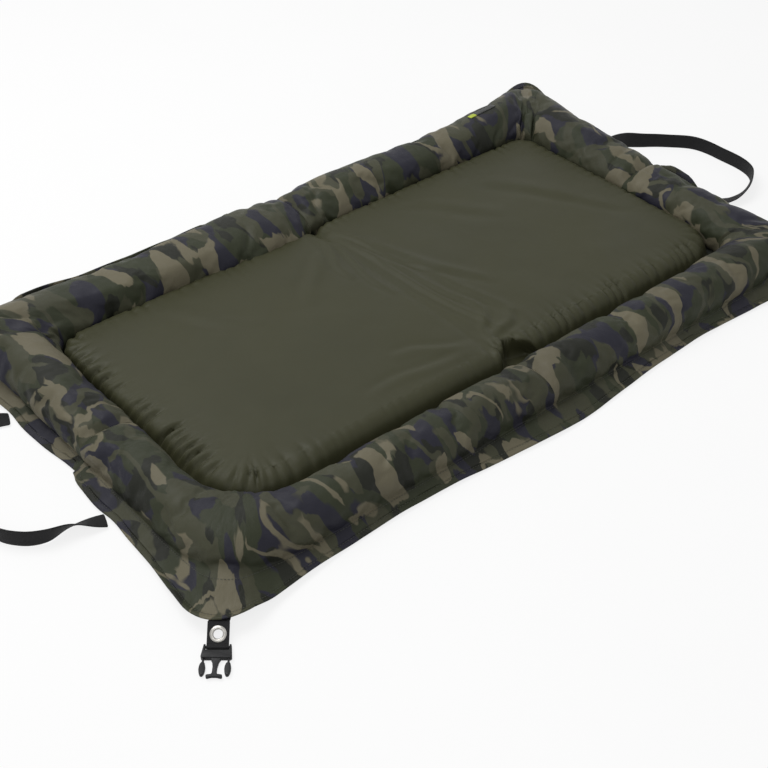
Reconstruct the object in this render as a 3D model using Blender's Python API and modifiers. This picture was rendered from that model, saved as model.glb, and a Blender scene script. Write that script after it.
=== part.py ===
# Padded unhooking mat: a smooth foam bed inside a raised padded bolster. It folds in half across its
# short axis, and its corner straps hold eyelets for ground pegs and side release buckles.
# Metres, +Z up, ground at z = 0, origin at the middle of the mat, +X along its length.
import math

import bmesh
import bpy
from mathutils import Matrix, Vector

# Bed, the smooth panel inside the bolster
BED_LENGTH = 0.915
BED_WIDTH = 0.457
BED_CORNER_RADIUS = 0.028
PANEL_HEIGHT = 0.036
PANEL_FOLD_CORNER_RADIUS = 0.014
PANEL_EDGE_WIDTH = 0.12
PANEL_EDGE_STEPS = 4
PANEL_SIDE_STEPS = 4
PANEL_TUCK = 0.004

# The panel's rounded edge as shares of its width and of the panel's height
PANEL_EDGE_SHARES = (
    (0.007, 0.22), (0.0, 0.42), (0.020, 0.62), (0.075, 0.79), (0.20, 0.895), (0.50, 0.965), (1.0, 1.0),
)

# Bolster, the padded wall round the bed
BOLSTER_WIDTH = 0.092
BOLSTER_HEIGHT = 0.068
BOLSTER_BULGE_HEIGHT = 0.030
BOLSTER_INNER_TUCK = 0.008
BOLSTER_OUTER_TUCK = 0.0175
SEAM_DIP = 0.016
SEAM_NARROWING = 0.010
SEAM_REACH = 0.026
CORNER_SWELL = 0.006
CORNER_REACH = 0.085

# Hem, the flat flange round the bolster
HEM_OUTSET = 0.1035
HEM_CORNER_RADIUS = 0.045
HEM_RISE = 0.0022
HEM_CORNER_RISE = 0.014
HEM_CORNER_FLARE = 0.020
HEM_FOLD_FLARE = 0.012
HEM_FOLD_REACH = 0.10
HEM_RUN_DRAW = 0.007
HEM_RUN_REACH = 0.12
HEM_SIDE_NOTCH = 0.011
HEM_NOTCH_REACH = 0.05
BINDING_WIDTH = 0.010
BINDING_THICKNESS = 0.0008

# Cloth and clearances
BASE_THICKNESS = 0.0015
COVER_THICKNESS = 0.0012
PANEL_THICKNESS = 0.0010
PIECE_GAP = 0.0003
FILLING_CLEARANCE = 0.0008
FOLD_CLEARANCE = 0.0015
CUT_OVERRUN = 0.002
WELD_DISTANCE = 0.00001

# Places along a quarter of the mat, from the fold seam to the corner and on to the side seam
LONG_RUN_SHARES = (0.0, 0.03, 0.075, 0.15, 0.33, 0.55, 0.77, 0.91, 1.0)
SHORT_RUN_SHARES = (0.84, 0.56, 0.30, 0.14, 0.055, 0.0)
CORNER_STEPS = 5
CROWN_STEPS = 7
TUCK_STEPS = 2

# Webbing carry handles
HANDLE_HALF_SPAN = 0.125
HANDLE_CENTRE = 0.024
HANDLE_REACH = 0.130
HANDLE_WIDTH = 0.025
HANDLE_THICKNESS = 0.002
HANDLE_ROOT_CLEARANCE = 0.0006
HANDLE_STEPS = 26
HANDLE_ROUNDNESS = 2.3

# Corner straps with their eyelets
TAB_WIDTH = 0.025
TAB_PLY_THICKNESS = 0.0013
TAB_LENGTH = 0.0293
TAB_BEARING_DEGREES = 50.0
TAB_CORNER_SHARE = 0.44
LOOP_CLEARANCE = 0.0003
LOOP_STEPS = 10
EYELET_PLACE = 0.0145
EYELET_RADIUS = 0.0097
EYELET_HOLE_RADIUS = 0.0054
EYELET_WALL = 0.0006
EYELET_DOME = 0.0012
EYELET_ROLL_RADIUS = 0.0074
EYELET_ROLL_HEIGHT = 0.0008
WASHER_THICKNESS = 0.0006
TURNED_STEPS = 20

# Side release buckles
BAR_RADIUS = 0.0016
BAR_STEPS = 12
BUCKLE_WIDTH = 0.035
FRAME_THICKNESS = 0.0064
FRAME_TAPER_SHARE = 0.89
FRAME_SIDE_CLEARANCE = 0.0009
FRAME_CHAMFER = 0.0015
SLOT_LENGTH = 0.0055
RAIL_END = 0.0026
EDGE_ROUNDING = 0.0006
TONGUE_ROUNDING = 0.0003
PLUG_BODY_LENGTH = 0.0110
TONGUE_LENGTH = 0.0265
TONGUE_WIDTH = 0.018
TONGUE_THICKNESS = 0.0040
ARM_OFFSET = 0.0142
ARM_LENGTH = 0.0235
ARM_THICKNESS = 0.0046
ARM_NECK_WIDTH = 0.0021
ARM_PAD_LENGTH = 0.0190
ARM_PAD_WIDTH = 0.0074
ARM_PAD_STEPS = 12
SOCKET_BODY_LENGTH = 0.0335
SOCKET_THICKNESS = 0.0094
SOCKET_ROOT = 0.0045
SOCKET_CAVITY_HEIGHT = 0.0052
SOCKET_CAVITY_WIDTH = 0.0312

# Outlines of the buckle as shares of its length and half width
TONGUE_HALF_SHARES = (
    (-0.06, 0.66), (0.04, 0.62), (0.18, 0.42), (0.45, 0.29), (0.76, 0.29),
    (0.83, 0.40), (0.85, 0.86), (0.88, 1.0), (0.97, 1.0), (1.0, 0.84), (0.95, 0.30),
)
SOCKET_HALF_SHARES = (
    (0.0, 1.0), (0.25, 1.0), (0.34, 0.82), (0.52, 0.79), (0.70, 0.82), (0.79, 1.0), (0.97, 1.0), (1.0, 0.96),
)

# Woven side label on the outer slope of the bolster
LABEL_LENGTH = 0.056
LABEL_WIDTH = 0.016
LABEL_THICKNESS = 0.0008
LABEL_CLEARANCE = 0.0006
LABEL_RUN_STEP = 6
LABEL_CROWN_STEP = 4

CAMO_CLOTH = (0.060, 0.066, 0.040)
PANEL_CLOTH = (0.062, 0.066, 0.040)
BLACK_WEBBING = (0.012, 0.012, 0.014)
BLACK_PLASTIC = (0.014, 0.015, 0.017)
NICKEL = (0.60, 0.60, 0.58)
WHITE_FILLING = (0.75, 0.75, 0.73)
GREY_FOAM = (0.20, 0.20, 0.21)
GROUND_SHEET = (0.030, 0.033, 0.026)
LABEL_CLOTH = (0.020, 0.021, 0.020)

# Sizes that follow from the ones above
TAB_THICKNESS = 2 * TAB_PLY_THICKNESS
LAYER_HEIGHT = BASE_THICKNESS + PIECE_GAP + COVER_THICKNESS
COVER_FOOT = BASE_THICKNESS + PIECE_GAP
OUTER_FOOT_OUTSET = BOLSTER_WIDTH - BOLSTER_OUTER_TUCK
SHEET_EDGE_OUTSET = HEM_OUTSET - BINDING_THICKNESS - PIECE_GAP
BINDING_INNER_OUTSET = HEM_OUTSET - BINDING_WIDTH
FOLD_AXIS_HEIGHT = BOLSTER_HEIGHT + CORNER_SWELL + FOLD_CLEARANCE
LOOP_INNER_RADIUS = BAR_RADIUS + LOOP_CLEARANCE
LOOP_OUTER_RADIUS = LOOP_INNER_RADIUS + TAB_PLY_THICKNESS
RAIL_INNER = TAB_WIDTH / 2 + FRAME_SIDE_CLEARANCE

CORNERS = {
    "front_left": (-1, -1),
    "back_left": (-1, 1),
    "front_right": (1, -1),
    "back_right": (1, 1),
}


def clear_scene():
    for item in list(bpy.data.objects):
        bpy.data.objects.remove(item, do_unlink=True)


def new_collection(name):
    collection = bpy.data.collections.new(name)
    bpy.context.scene.collection.children.link(collection)
    return collection


def paint(piece, colour, roughness, metallic):
    # one Principled material for each piece
    material = bpy.data.materials.new(piece.name + "_material")
    material.use_nodes = True
    shader = material.node_tree.nodes["Principled BSDF"]
    shader.inputs["Base Color"].default_value = (*colour, 1)
    shader.inputs["Roughness"].default_value = roughness
    shader.inputs["Metallic"].default_value = metallic
    material.diffuse_color = (*colour, 1)
    piece.data.materials.clear()
    piece.data.materials.append(material)


def add_piece(name, mesh, collection, parent=None, location=(0, 0, 0), rotation=(0, 0, 0)):
    piece = bpy.data.objects.new(name, mesh)
    collection.objects.link(piece)
    piece.parent = parent
    piece.location = location
    piece.rotation_euler = rotation
    return piece


def add_pivot(name, collection, location, rotation=(0, 0, 0), parent=None):
    # an empty that stands on a joint's axis
    return add_piece(name, None, collection, parent, location, rotation)


def bell(distance, reach):
    return math.exp(-((distance / reach) ** 2))


# Plan of the mat

def quarter_stations():
    stations = [("long", share) for share in LONG_RUN_SHARES]
    stations += [("corner", step / CORNER_STEPS) for step in range(1, CORNER_STEPS + 1)]
    stations += [("short", share) for share in SHORT_RUN_SHARES]
    return stations


def seam_distances(station):
    # how far a station lies from the fold seam, from the side seam and from the corner's middle
    run, share = station
    half_arc = HEM_CORNER_RADIUS * math.pi / 4
    long_run = BED_LENGTH / 2
    short_run = BED_WIDTH / 2
    if run == "long":
        from_corner = (1 - share) * long_run + half_arc
        return share * long_run, short_run + half_arc + from_corner, from_corner
    if run == "short":
        from_corner = (1 - share) * short_run + half_arc
        return long_run + half_arc + from_corner, share * short_run, from_corner
    from_corner = abs(2 * share - 1) * half_arc
    return long_run + half_arc, short_run + half_arc, from_corner


def hem_wave(station):
    # the flange spreads where the bolster is flat and is drawn in where it is full
    from_fold, from_side, from_corner = seam_distances(station)
    wave = HEM_CORNER_FLARE * bell(from_corner, CORNER_REACH)
    wave += HEM_FOLD_FLARE * bell(from_fold, HEM_FOLD_REACH)
    wave -= HEM_SIDE_NOTCH * bell(from_side, HEM_NOTCH_REACH)
    wave -= HEM_RUN_DRAW * bell((from_fold - from_corner) / 2, HEM_RUN_REACH)
    return wave


def flange_share(outset):
    return max(0, (outset - OUTER_FOOT_OUTSET) / (HEM_OUTSET - OUTER_FOOT_OUTSET))


def plan_point(station, outset, end_inset=0):
    # a point of the first quarter, this far outside the seam round the bed
    run, share = station
    growth = (HEM_CORNER_RADIUS - BED_CORNER_RADIUS) / HEM_OUTSET
    radius = BED_CORNER_RADIUS + growth * outset
    centre_x = BED_LENGTH / 2 + outset - radius
    centre_y = BED_WIDTH / 2 + outset - radius
    reach = radius + flange_share(outset) * hem_wave(station)
    start = PIECE_GAP / 2 + end_inset
    if run == "long":
        return start + share * (centre_x - start), centre_y + reach
    if run == "short":
        return centre_x + reach, start + share * (centre_y - start)
    angle = share * math.pi / 2
    return centre_x + reach * math.sin(angle), centre_y + reach * math.cos(angle)


def flange_rise(station, outset):
    # the hem floats just above the ground and lifts at the corners
    from_corner = seam_distances(station)[2]
    return flange_share(outset) * (HEM_RISE + HEM_CORNER_RISE * bell(from_corner, CORNER_REACH))


def half_line(outset, height, side):
    # a line round three sides of one half of the mat, from the fold at the front to the fold at the back
    front = []
    back = []
    for station in quarter_stations():
        x, y = plan_point(station, outset)
        z = height + flange_rise(station, outset)
        if station == ("short", 0.0):
            front.append(Vector((side * x, 0, z)))
        else:
            front.append(Vector((side * x, -y, z)))
            back.append(Vector((side * x, y, z)))
    return front + back[::-1]


# Meshes from sections

def add_ridged(shape, corners):
    # a twisted four sided face as two triangles that meet along its higher diagonal
    first, second, third, fourth = corners
    if first.co.z + third.co.z > second.co.z + fourth.co.z:
        shape.faces.new((first, second, third))
        shape.faces.new((first, third, fourth))
    else:
        shape.faces.new((first, second, fourth))
        shape.faces.new((second, third, fourth))


def loft(name, rows, closed_rows=False, caps=(), faces=(), ridged_from=None):
    # a surface through rows of points, with extra faces given as lists of (row, column)
    shape = bmesh.new()
    grid = [[shape.verts.new(point) for point in row] for row in rows]
    for near, far in zip(grid, grid[1:]):
        count = len(near)
        for index in range(count if closed_rows else count - 1):
            after = (index + 1) % count
            corners = (near[index], near[after], far[after], far[index])
            if ridged_from is not None and index >= ridged_from:
                add_ridged(shape, corners)
            else:
                shape.faces.new(corners)
    for cap in caps:
        shape.faces.new(grid[cap])
    for corners in faces:
        shape.faces.new([grid[row][column] for row, column in corners])
    bmesh.ops.recalc_face_normals(shape, faces=shape.faces)
    mesh = bpy.data.meshes.new(name)
    shape.to_mesh(mesh)
    shape.free()
    return mesh


def face_up(mesh):
    # an open sheet's faces are turned so that the crown of the sheet faces up
    shape = bmesh.new()
    shape.from_mesh(mesh)
    shape.faces.ensure_lookup_table()
    weight = sum(face.normal.z * face.calc_area() for face in shape.faces)
    if weight < 0:
        bmesh.ops.reverse_faces(shape, faces=shape.faces)
    shape.to_mesh(mesh)
    shape.free()


def thicken(piece, thickness, outward=False):
    solidify = piece.modifiers.new("cloth", "SOLIDIFY")
    solidify.thickness = thickness
    solidify.offset = 1 if outward else -1


def inset_line(points, distance):
    # an outline's points moved to its right by one distance, with mitred corners
    moved = []
    for index, (x, z) in enumerate(points):
        normals = []
        for first, second in ((index - 1, index), (index, index + 1)):
            if first >= 0 and second < len(points):
                run = Vector(points[second]) - Vector(points[first])
                normals.append(Vector((run.y, -run.x)).normalized())
        total = sum(normals, Vector((0, 0)))
        middle = total.normalized()
        step = distance / middle.dot(normals[0])
        moved.append((x + middle.x * step, z + middle.y * step))
    return moved


def flat_outline(name, loops, thickness):
    # a flat outline, extruded to both sides of its own plane
    curve = bpy.data.curves.new(name, "CURVE")
    curve.dimensions = "2D"
    curve.fill_mode = "BOTH"
    curve.extrude = thickness / 2
    for loop in loops:
        spline = curve.splines.new("POLY")
        spline.points.add(len(loop) - 1)
        for point, (x, y) in zip(spline.points, loop):
            point.co = (x, y, 0, 1)
        spline.use_cyclic_u = True
    return curve_to_mesh(name, curve)


def curve_to_mesh(name, curve):
    # the curve's evaluated shape as a welded mesh
    holder = bpy.data.objects.new(name, curve)
    bpy.context.scene.collection.objects.link(holder)
    bpy.context.view_layer.update()
    evaluated = holder.evaluated_get(bpy.context.evaluated_depsgraph_get())
    mesh = bpy.data.meshes.new_from_object(evaluated)
    mesh.name = name
    bpy.data.objects.remove(holder, do_unlink=True)
    shape = bmesh.new()
    shape.from_mesh(mesh)
    bmesh.ops.remove_doubles(shape, verts=shape.verts, dist=WELD_DISTANCE)
    bmesh.ops.recalc_face_normals(shape, faces=shape.faces)
    shape.to_mesh(mesh)
    shape.free()
    return mesh


def mirrored(half):
    # a half outline and its mirror image as one loop
    return list(half) + [(x, -y) for x, y in reversed(half)]


def round_edges(piece, width):
    bevel = piece.modifiers.new("rounding", "BEVEL")
    bevel.width = width
    bevel.segments = 1
    bevel.limit_method = "ANGLE"
    bevel.angle_limit = math.radians(50)


def join_or_cut(piece, other, operation):
    boolean = piece.modifiers.new(other.name, "BOOLEAN")
    boolean.operation = operation
    boolean.solver = "EXACT"
    boolean.object = other


def cylinder_mesh(name, radius, length, steps):
    shape = bmesh.new()
    bmesh.ops.create_cone(
        shape, cap_ends=True, segments=steps, radius1=radius, radius2=radius, depth=length
    )
    mesh = bpy.data.meshes.new(name)
    shape.to_mesh(mesh)
    shape.free()
    return mesh


def box_mesh(name, length, width, height):
    shape = bmesh.new()
    bmesh.ops.create_cube(shape, size=1)
    bmesh.ops.scale(shape, vec=(length, width, height), verts=shape.verts)
    mesh = bpy.data.meshes.new(name)
    shape.to_mesh(mesh)
    shape.free()
    return mesh


def add_tool(name, mesh, tools, parent, location=(0, 0, 0), rotation=(0, 0, 0)):
    # a hidden shape that another piece is cut by or joined to
    tool = add_piece(name, mesh, tools, parent, location, rotation)
    tool.hide_render = True
    tool.display_type = "WIRE"
    return tool


def turned(name, profile):
    # a closed profile round its axis; at +X it runs down its outer side
    shape = bmesh.new()
    ring = [shape.verts.new((x, 0, z)) for x, z in profile]
    for index in range(len(ring)):
        shape.edges.new((ring[index - 1], ring[index]))
    mesh = bpy.data.meshes.new(name)
    shape.to_mesh(mesh)
    shape.free()
    return mesh


def spin(piece):
    screw = piece.modifiers.new("turned", "SCREW")
    screw.steps = TURNED_STEPS
    screw.render_steps = TURNED_STEPS
    screw.use_merge_vertices = True
    screw.merge_threshold = WELD_DISTANCE


# Bolster

def ellipse_points(centre, radii, start_degrees, end_degrees, steps):
    points = []
    for step in range(steps + 1):
        angle = math.radians(start_degrees + (end_degrees - start_degrees) * step / steps)
        points.append((centre[0] + radii[0] * math.cos(angle), centre[1] + radii[1] * math.sin(angle)))
    return points


def bolster_profile(station):
    # the stuffed arch from its inner foot over the crown to its outer foot, as outset and height
    from_fold, from_side, from_corner = seam_distances(station)
    seam = max(bell(from_fold, SEAM_REACH), bell(from_side, SEAM_REACH))
    crown = BOLSTER_HEIGHT - SEAM_DIP * seam + CORNER_SWELL * bell(from_corner, CORNER_REACH)
    narrowing = SEAM_NARROWING * seam / 2
    bulge = BOLSTER_BULGE_HEIGHT
    inner = (BOLSTER_INNER_TUCK + narrowing, bulge)
    outer = (OUTER_FOOT_OUTSET, bulge)
    middle = (BOLSTER_WIDTH / 2, bulge)
    half_width = BOLSTER_WIDTH / 2 - narrowing
    outer_tuck = BOLSTER_OUTER_TUCK - narrowing
    inner_foot = ellipse_points(inner, (BOLSTER_INNER_TUCK, bulge - COVER_FOOT), 270, 180, TUCK_STEPS)
    arch = ellipse_points(middle, (half_width, crown - bulge), 180, 0, CROWN_STEPS)
    outer_foot = ellipse_points(outer, (outer_tuck, bulge - LAYER_HEIGHT), 0, -90, TUCK_STEPS)
    return inner_foot + arch[1:] + outer_foot[1:]


def quarter_point(station, outset, height, signs, end_inset=0):
    x, y = plan_point(station, outset, end_inset)
    return Vector((signs[0] * x, signs[1] * y, height))


def bolster_cover(corner, signs, parts, parent, offset):
    # the camouflage cloth: a tube open underneath, closed at both seams, with the flange in one piece
    rows = []
    for station in quarter_stations():
        profile = bolster_profile(station)
        flange = [
            (outset, LAYER_HEIGHT + flange_rise(station, outset))
            for outset in (BINDING_INNER_OUTSET, SHEET_EDGE_OUTSET)
        ]
        rows.append([quarter_point(station, *point, signs) for point in profile + flange])
    arch = range(len(profile))
    walls = [[(row, column) for column in arch] for row in (0, len(rows) - 1)]
    name = "bolster_cover_" + corner
    mesh = loft(name, rows, faces=walls, ridged_from=len(profile) - 1)
    face_up(mesh)
    cover = add_piece(name, mesh, parts, parent, offset)
    thicken(cover, COVER_THICKNESS)
    paint(cover, CAMO_CLOTH, 0.75, 0)


def run_to_foot(end, before):
    # the end of an outline, run on along its last side to the height of the cover's foot
    share = (COVER_FOOT - end[1]) / (end[1] - before[1])
    return end[0] + share * (end[0] - before[0]), COVER_FOOT


def bolster_filling(corner, signs, parts, parent, offset):
    # the wadding inside the tube
    inset = COVER_THICKNESS + FILLING_CLEARANCE
    rows = []
    for station in quarter_stations():
        profile = inset_line(bolster_profile(station), inset)
        profile[0] = run_to_foot(profile[0], profile[1])
        profile[-1] = run_to_foot(profile[-1], profile[-2])
        rows.append([quarter_point(station, *point, signs, inset) for point in profile])
    name = "bolster_filling_" + corner
    mesh = loft(name, rows, closed_rows=True, caps=(0, -1))
    filling = add_piece(name, mesh, parts, parent, offset)
    paint(filling, WHITE_FILLING, 0.95, 0)


# Bed

def panel_ring(inset, height, side):
    # a rounded rectangle round one half of the bed, smaller by the inset on every side
    near = PIECE_GAP / 2 + inset
    far = BED_LENGTH / 2 - PIECE_GAP / 2 - inset
    half = BED_WIDTH / 2 - PIECE_GAP / 2 - inset
    spread = inset / PANEL_EDGE_STEPS
    bed_radius = BED_CORNER_RADIUS - PIECE_GAP / 2 + spread
    fold_radius = PANEL_FOLD_CORNER_RADIUS + spread
    corners = (
        (far - bed_radius, half - bed_radius, bed_radius, 90),
        (near + fold_radius, half - fold_radius, fold_radius, 180),
        (near + fold_radius, fold_radius - half, fold_radius, 270),
        (far - bed_radius, bed_radius - half, bed_radius, 360),
    )
    arcs = [
        ellipse_points((x, y), (radius, radius), turn - 90, turn, PANEL_EDGE_STEPS)
        for x, y, radius, turn in corners
    ]
    ring = []
    for index, arc in enumerate(arcs):
        ring += arc
        start = Vector(arc[-1])
        end = Vector(arcs[(index + 1) % len(arcs)][0])
        ring += [start.lerp(end, step / PANEL_SIDE_STEPS) for step in range(1, PANEL_SIDE_STEPS)]
    return [Vector((side * x, y, height)) for x, y in ring]


def panel_profile():
    # inset and height from the panel's foot to its crown, drawn in at its lower edge
    rows = [(PANEL_EDGE_WIDTH * inset, PANEL_HEIGHT * height) for inset, height in PANEL_EDGE_SHARES]
    return [(PANEL_TUCK, COVER_FOOT)] + rows


def panel_cover(half, side, parts, parent, offset):
    rows = [panel_ring(inset, height, side) for inset, height in panel_profile()]
    name = "panel_cover_" + half
    mesh = loft(name, rows, closed_rows=True, caps=(-1,))
    face_up(mesh)
    cover = add_piece(name, mesh, parts, parent, offset)
    thicken(cover, PANEL_THICKNESS)
    paint(cover, PANEL_CLOTH, 0.6, 0)


def foam_pad(half, side, parts, parent, offset):
    profile = [(-inset, height) for inset, height in panel_profile()]
    profile = [(-x, z) for x, z in inset_line(profile, -PANEL_THICKNESS - FILLING_CLEARANCE)]
    profile[0] = (profile[0][0], COVER_FOOT)
    rows = [panel_ring(inset, height, side) for inset, height in profile]
    name = "foam_pad_" + half
    mesh = loft(name, rows, closed_rows=True, caps=(0, -1))
    pad = add_piece(name, mesh, parts, parent, offset)
    paint(pad, GREY_FOAM, 0.95, 0)


# Ground sheet and hem

def base_sheet(half, side, parts, parent, offset):
    outsets = (OUTER_FOOT_OUTSET, BINDING_INNER_OUTSET, SHEET_EDGE_OUTSET)
    rows = [half_line(outset, 0, side) for outset in outsets]
    name = "base_sheet_" + half
    mesh = loft(name, rows, caps=(0,), ridged_from=0)
    face_up(mesh)
    sheet = add_piece(name, mesh, parts, parent, offset)
    thicken(sheet, BASE_THICKNESS, outward=True)
    paint(sheet, GROUND_SHEET, 0.7, 0)


def hem_binding(half, side, parts, parent, offset):
    # a folded tape over the edges of the ground sheet and the bolster cover
    inner = BINDING_INNER_OUTSET
    slot = HEM_OUTSET - BINDING_THICKNESS
    below = -PIECE_GAP
    above = LAYER_HEIGHT + PIECE_GAP
    profile = (
        (inner, below - BINDING_THICKNESS),
        (HEM_OUTSET, below - BINDING_THICKNESS),
        (HEM_OUTSET, above + BINDING_THICKNESS),
        (inner, above + BINDING_THICKNESS),
        (inner, above),
        (slot, above),
        (slot, below),
        (inner, below),
    )
    lines = [half_line(outset, height, side) for outset, height in profile]
    rows = list(zip(*lines))
    name = "hem_binding_" + half
    mesh = loft(name, rows, closed_rows=True, caps=(0, -1), ridged_from=0)
    binding = add_piece(name, mesh, parts, parent, offset)
    paint(binding, CAMO_CLOTH, 0.8, 0)


# Carry handles

def hem_edge_at(y):
    # how far out the hem's edge lies on the short side, this far from the side seam
    points = [plan_point(station, HEM_OUTSET) for station in quarter_stations()]
    for (far_x, far_y), (near_x, near_y) in zip(points, points[1:]):
        if near_y <= abs(y) <= far_y:
            return near_x + (far_x - near_x) * (abs(y) - near_y) / (far_y - near_y)
    return points[-1][0]


def handle_root(end):
    # how far out a handle's strap leaves the hem, at its front end (-1) or its back end (1)
    middle = HANDLE_CENTRE + end * HANDLE_HALF_SPAN
    edges = [hem_edge_at(middle - HANDLE_WIDTH / 2), hem_edge_at(middle + HANDLE_WIDTH / 2)]
    return max(edges) + HANDLE_ROOT_CLEARANCE


def carry_handle(half, side, parts, parent, offset):
    # a webbing loop that leaves the hem flat and turns to stand on its edge
    half_width = HANDLE_WIDTH / 2
    roots = {end: handle_root(end) for end in (-1, 1)}
    root_x = max(roots.values())
    root_z = HEM_RISE + LAYER_HEIGHT / 2
    hinge_z = root_z + HANDLE_THICKNESS / 2
    place = Vector((side * root_x, 0, hinge_z)) + Vector(offset)
    pivot = add_pivot("handle_pivot_" + half, parts, place, parent=parent)

    name = "carry_handle_" + half
    curve = bpy.data.curves.new(name, "CURVE")
    curve.dimensions = "3D"
    curve.twist_mode = "Z_UP"
    curve.fill_mode = "FULL"
    curve.bevel_depth = HANDLE_THICKNESS / 2
    curve.bevel_resolution = 0
    curve.extrude = half_width - curve.bevel_depth
    curve.use_fill_caps = True
    spline = curve.splines.new("POLY")
    spline.points.add(HANDLE_STEPS)
    power = 2 / HANDLE_ROUNDNESS
    for step, point in enumerate(spline.points):
        angle = math.pi * step / HANDLE_STEPS
        across = math.cos(angle)
        out = math.sin(angle) if 0 < step < HANDLE_STEPS else 0
        standing = out ** power
        own_root = roots[math.copysign(1, across)] - root_x
        x = side * (HANDLE_REACH * standing + own_root * (1 - standing))
        y = HANDLE_CENTRE + math.copysign(HANDLE_HALF_SPAN * abs(across) ** power, across)
        lift = half_width * math.sin(standing * math.pi / 2) + PIECE_GAP
        z = lift + (root_z - PIECE_GAP) * (1 - standing) - hinge_z
        point.co = (x, y, z, 1)
        point.tilt = side * (1 - standing) * math.pi / 2
    mesh = curve_to_mesh(name, curve)
    handle = add_piece(name, mesh, parts, pivot)
    paint(handle, BLACK_WEBBING, 0.8, 0)


# Corner straps, eyelets and buckles

def tab_slope(hinge_z, bar_z):
    # the strap slopes from the lifted corner down to a bar that lies this high
    drop = math.asin((hinge_z - bar_z) / math.hypot(TAB_LENGTH, TAB_THICKNESS / 2))
    return drop - math.atan2(TAB_THICKNESS / 2, TAB_LENGTH)


def corner_strap(corner, signs, bar_z, parts, tools, parent, offset):
    # returns the empty on the axis of the buckle's bar
    station = ("corner", TAB_CORNER_SHARE)
    bearing = math.radians(TAB_BEARING_DEGREES)
    out = Vector((signs[0] * math.cos(bearing), signs[1] * math.sin(bearing), 0))
    edge = corner_edge_reach(signs, out)
    hem_z = flange_rise(station, HEM_OUTSET) + LAYER_HEIGHT / 2
    hinge_z = hem_z + TAB_THICKNESS / 2
    place = edge + out * PIECE_GAP
    place.z = hinge_z
    slope = tab_slope(hinge_z, bar_z)
    turn = math.atan2(out.y, out.x)
    pivot = add_pivot(
        "tab_pivot_" + corner, parts, place + Vector(offset), (0, slope, turn), parent
    )

    name = "corner_tab_" + corner
    middle = -TAB_THICKNESS / 2
    meeting = math.degrees(math.asin(TAB_THICKNESS / 2 / LOOP_OUTER_RADIUS))
    radii = (LOOP_OUTER_RADIUS, LOOP_OUTER_RADIUS)
    loop = ellipse_points((TAB_LENGTH, middle), radii, meeting - 180, 180 - meeting, LOOP_STEPS)
    outline = [(0, 0), (TAB_THICKNESS * math.tan(slope), -TAB_THICKNESS)] + loop
    bore = ellipse_points((TAB_LENGTH, middle), (LOOP_INNER_RADIUS, LOOP_INNER_RADIUS), 0, 360, LOOP_STEPS)
    mesh = flat_outline(name, (outline, bore[:-1]), TAB_WIDTH)
    tab = add_piece(name, mesh, parts, pivot, rotation=(math.pi / 2, 0, 0))
    hole_radius = EYELET_HOLE_RADIUS + EYELET_WALL + PIECE_GAP
    hole = cylinder_mesh("eyelet_hole_" + corner, hole_radius, TAB_THICKNESS + 2 * CUT_OVERRUN, TURNED_STEPS)
    cutter = add_tool("eyelet_hole_" + corner, hole, tools, pivot, (EYELET_PLACE, 0, middle))
    join_or_cut(tab, cutter, "DIFFERENCE")
    tab.modifiers.new("split faces", "TRIANGULATE")
    paint(tab, BLACK_WEBBING, 0.8, 0)

    eyelet(corner, parts, pivot)
    return add_pivot(
        "buckle_pivot_" + corner, parts, (TAB_LENGTH, 0, middle), (0, -slope, 0), pivot
    )


def corner_edge_reach(signs, out):
    # where the hem's edge lies furthest out along the strap's bearing, over the strap's width
    points = [plan_point(station, HEM_OUTSET) for station in quarter_stations()]
    line = [Vector((signs[0] * x, signs[1] * y, 0)) for x, y in points]
    across = Vector((-out.y, out.x, 0))
    share = TAB_CORNER_SHARE * CORNER_STEPS
    first = len(LONG_RUN_SHARES) - 1 + int(share)
    root = line[first].lerp(line[first + 1], share - int(share))
    near = [point for point in line if abs((point - root).dot(across)) < TAB_WIDTH]
    reach = max((point - root).dot(out) for point in near)
    return root + out * max(0, reach)


def eyelet(corner, parts, pivot):
    hole = EYELET_HOLE_RADIUS
    barrel = hole + EYELET_WALL
    seat = PIECE_GAP
    under = -TAB_THICKNESS - PIECE_GAP
    washer_foot = under - WASHER_THICKNESS
    roll = washer_foot - PIECE_GAP
    profile = (
        (hole, seat + EYELET_DOME / 2),
        ((hole + EYELET_RADIUS) / 2, seat + EYELET_DOME),
        (EYELET_RADIUS, seat + EYELET_DOME / 3),
        (EYELET_RADIUS, seat),
        (barrel, seat),
        (barrel, roll),
        (EYELET_ROLL_RADIUS, roll),
        (barrel, roll - EYELET_ROLL_HEIGHT),
        (hole, roll - EYELET_ROLL_HEIGHT / 2),
    )
    name = "eyelet_" + corner
    ring = add_piece(name, turned(name, profile), parts, pivot, (EYELET_PLACE, 0, 0))
    spin(ring)
    paint(ring, NICKEL, 0.3, 1)
    inner = barrel + PIECE_GAP
    washer_profile = (
        (inner, under),
        (EYELET_RADIUS, under),
        (EYELET_RADIUS, washer_foot),
        (inner, washer_foot),
    )
    name = "eyelet_washer_" + corner
    washer = add_piece(name, turned(name, washer_profile), parts, pivot, (EYELET_PLACE, 0, 0))
    spin(washer)
    paint(washer, NICKEL, 0.35, 1)


def frame_outline(body_half):
    # two rails that hold the bar, and the body beyond the slot
    half_width = BUCKLE_WIDTH / 2
    rails = [(-RAIL_END, RAIL_INNER), (-RAIL_END, half_width * FRAME_TAPER_SHARE)]
    slot = [(SLOT_LENGTH, -RAIL_INNER), (SLOT_LENGTH, RAIL_INNER)]
    outer = mirrored(rails + body_half)
    return slot + outer


def buckle_bar(corner, tools, pivot):
    length = 2 * RAIL_INNER + FRAME_SIDE_CLEARANCE
    mesh = cylinder_mesh("buckle_bar_" + corner, BAR_RADIUS, length, BAR_STEPS)
    return add_tool("buckle_bar_" + corner, mesh, tools, pivot, rotation=(math.pi / 2, 0, 0))


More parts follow.
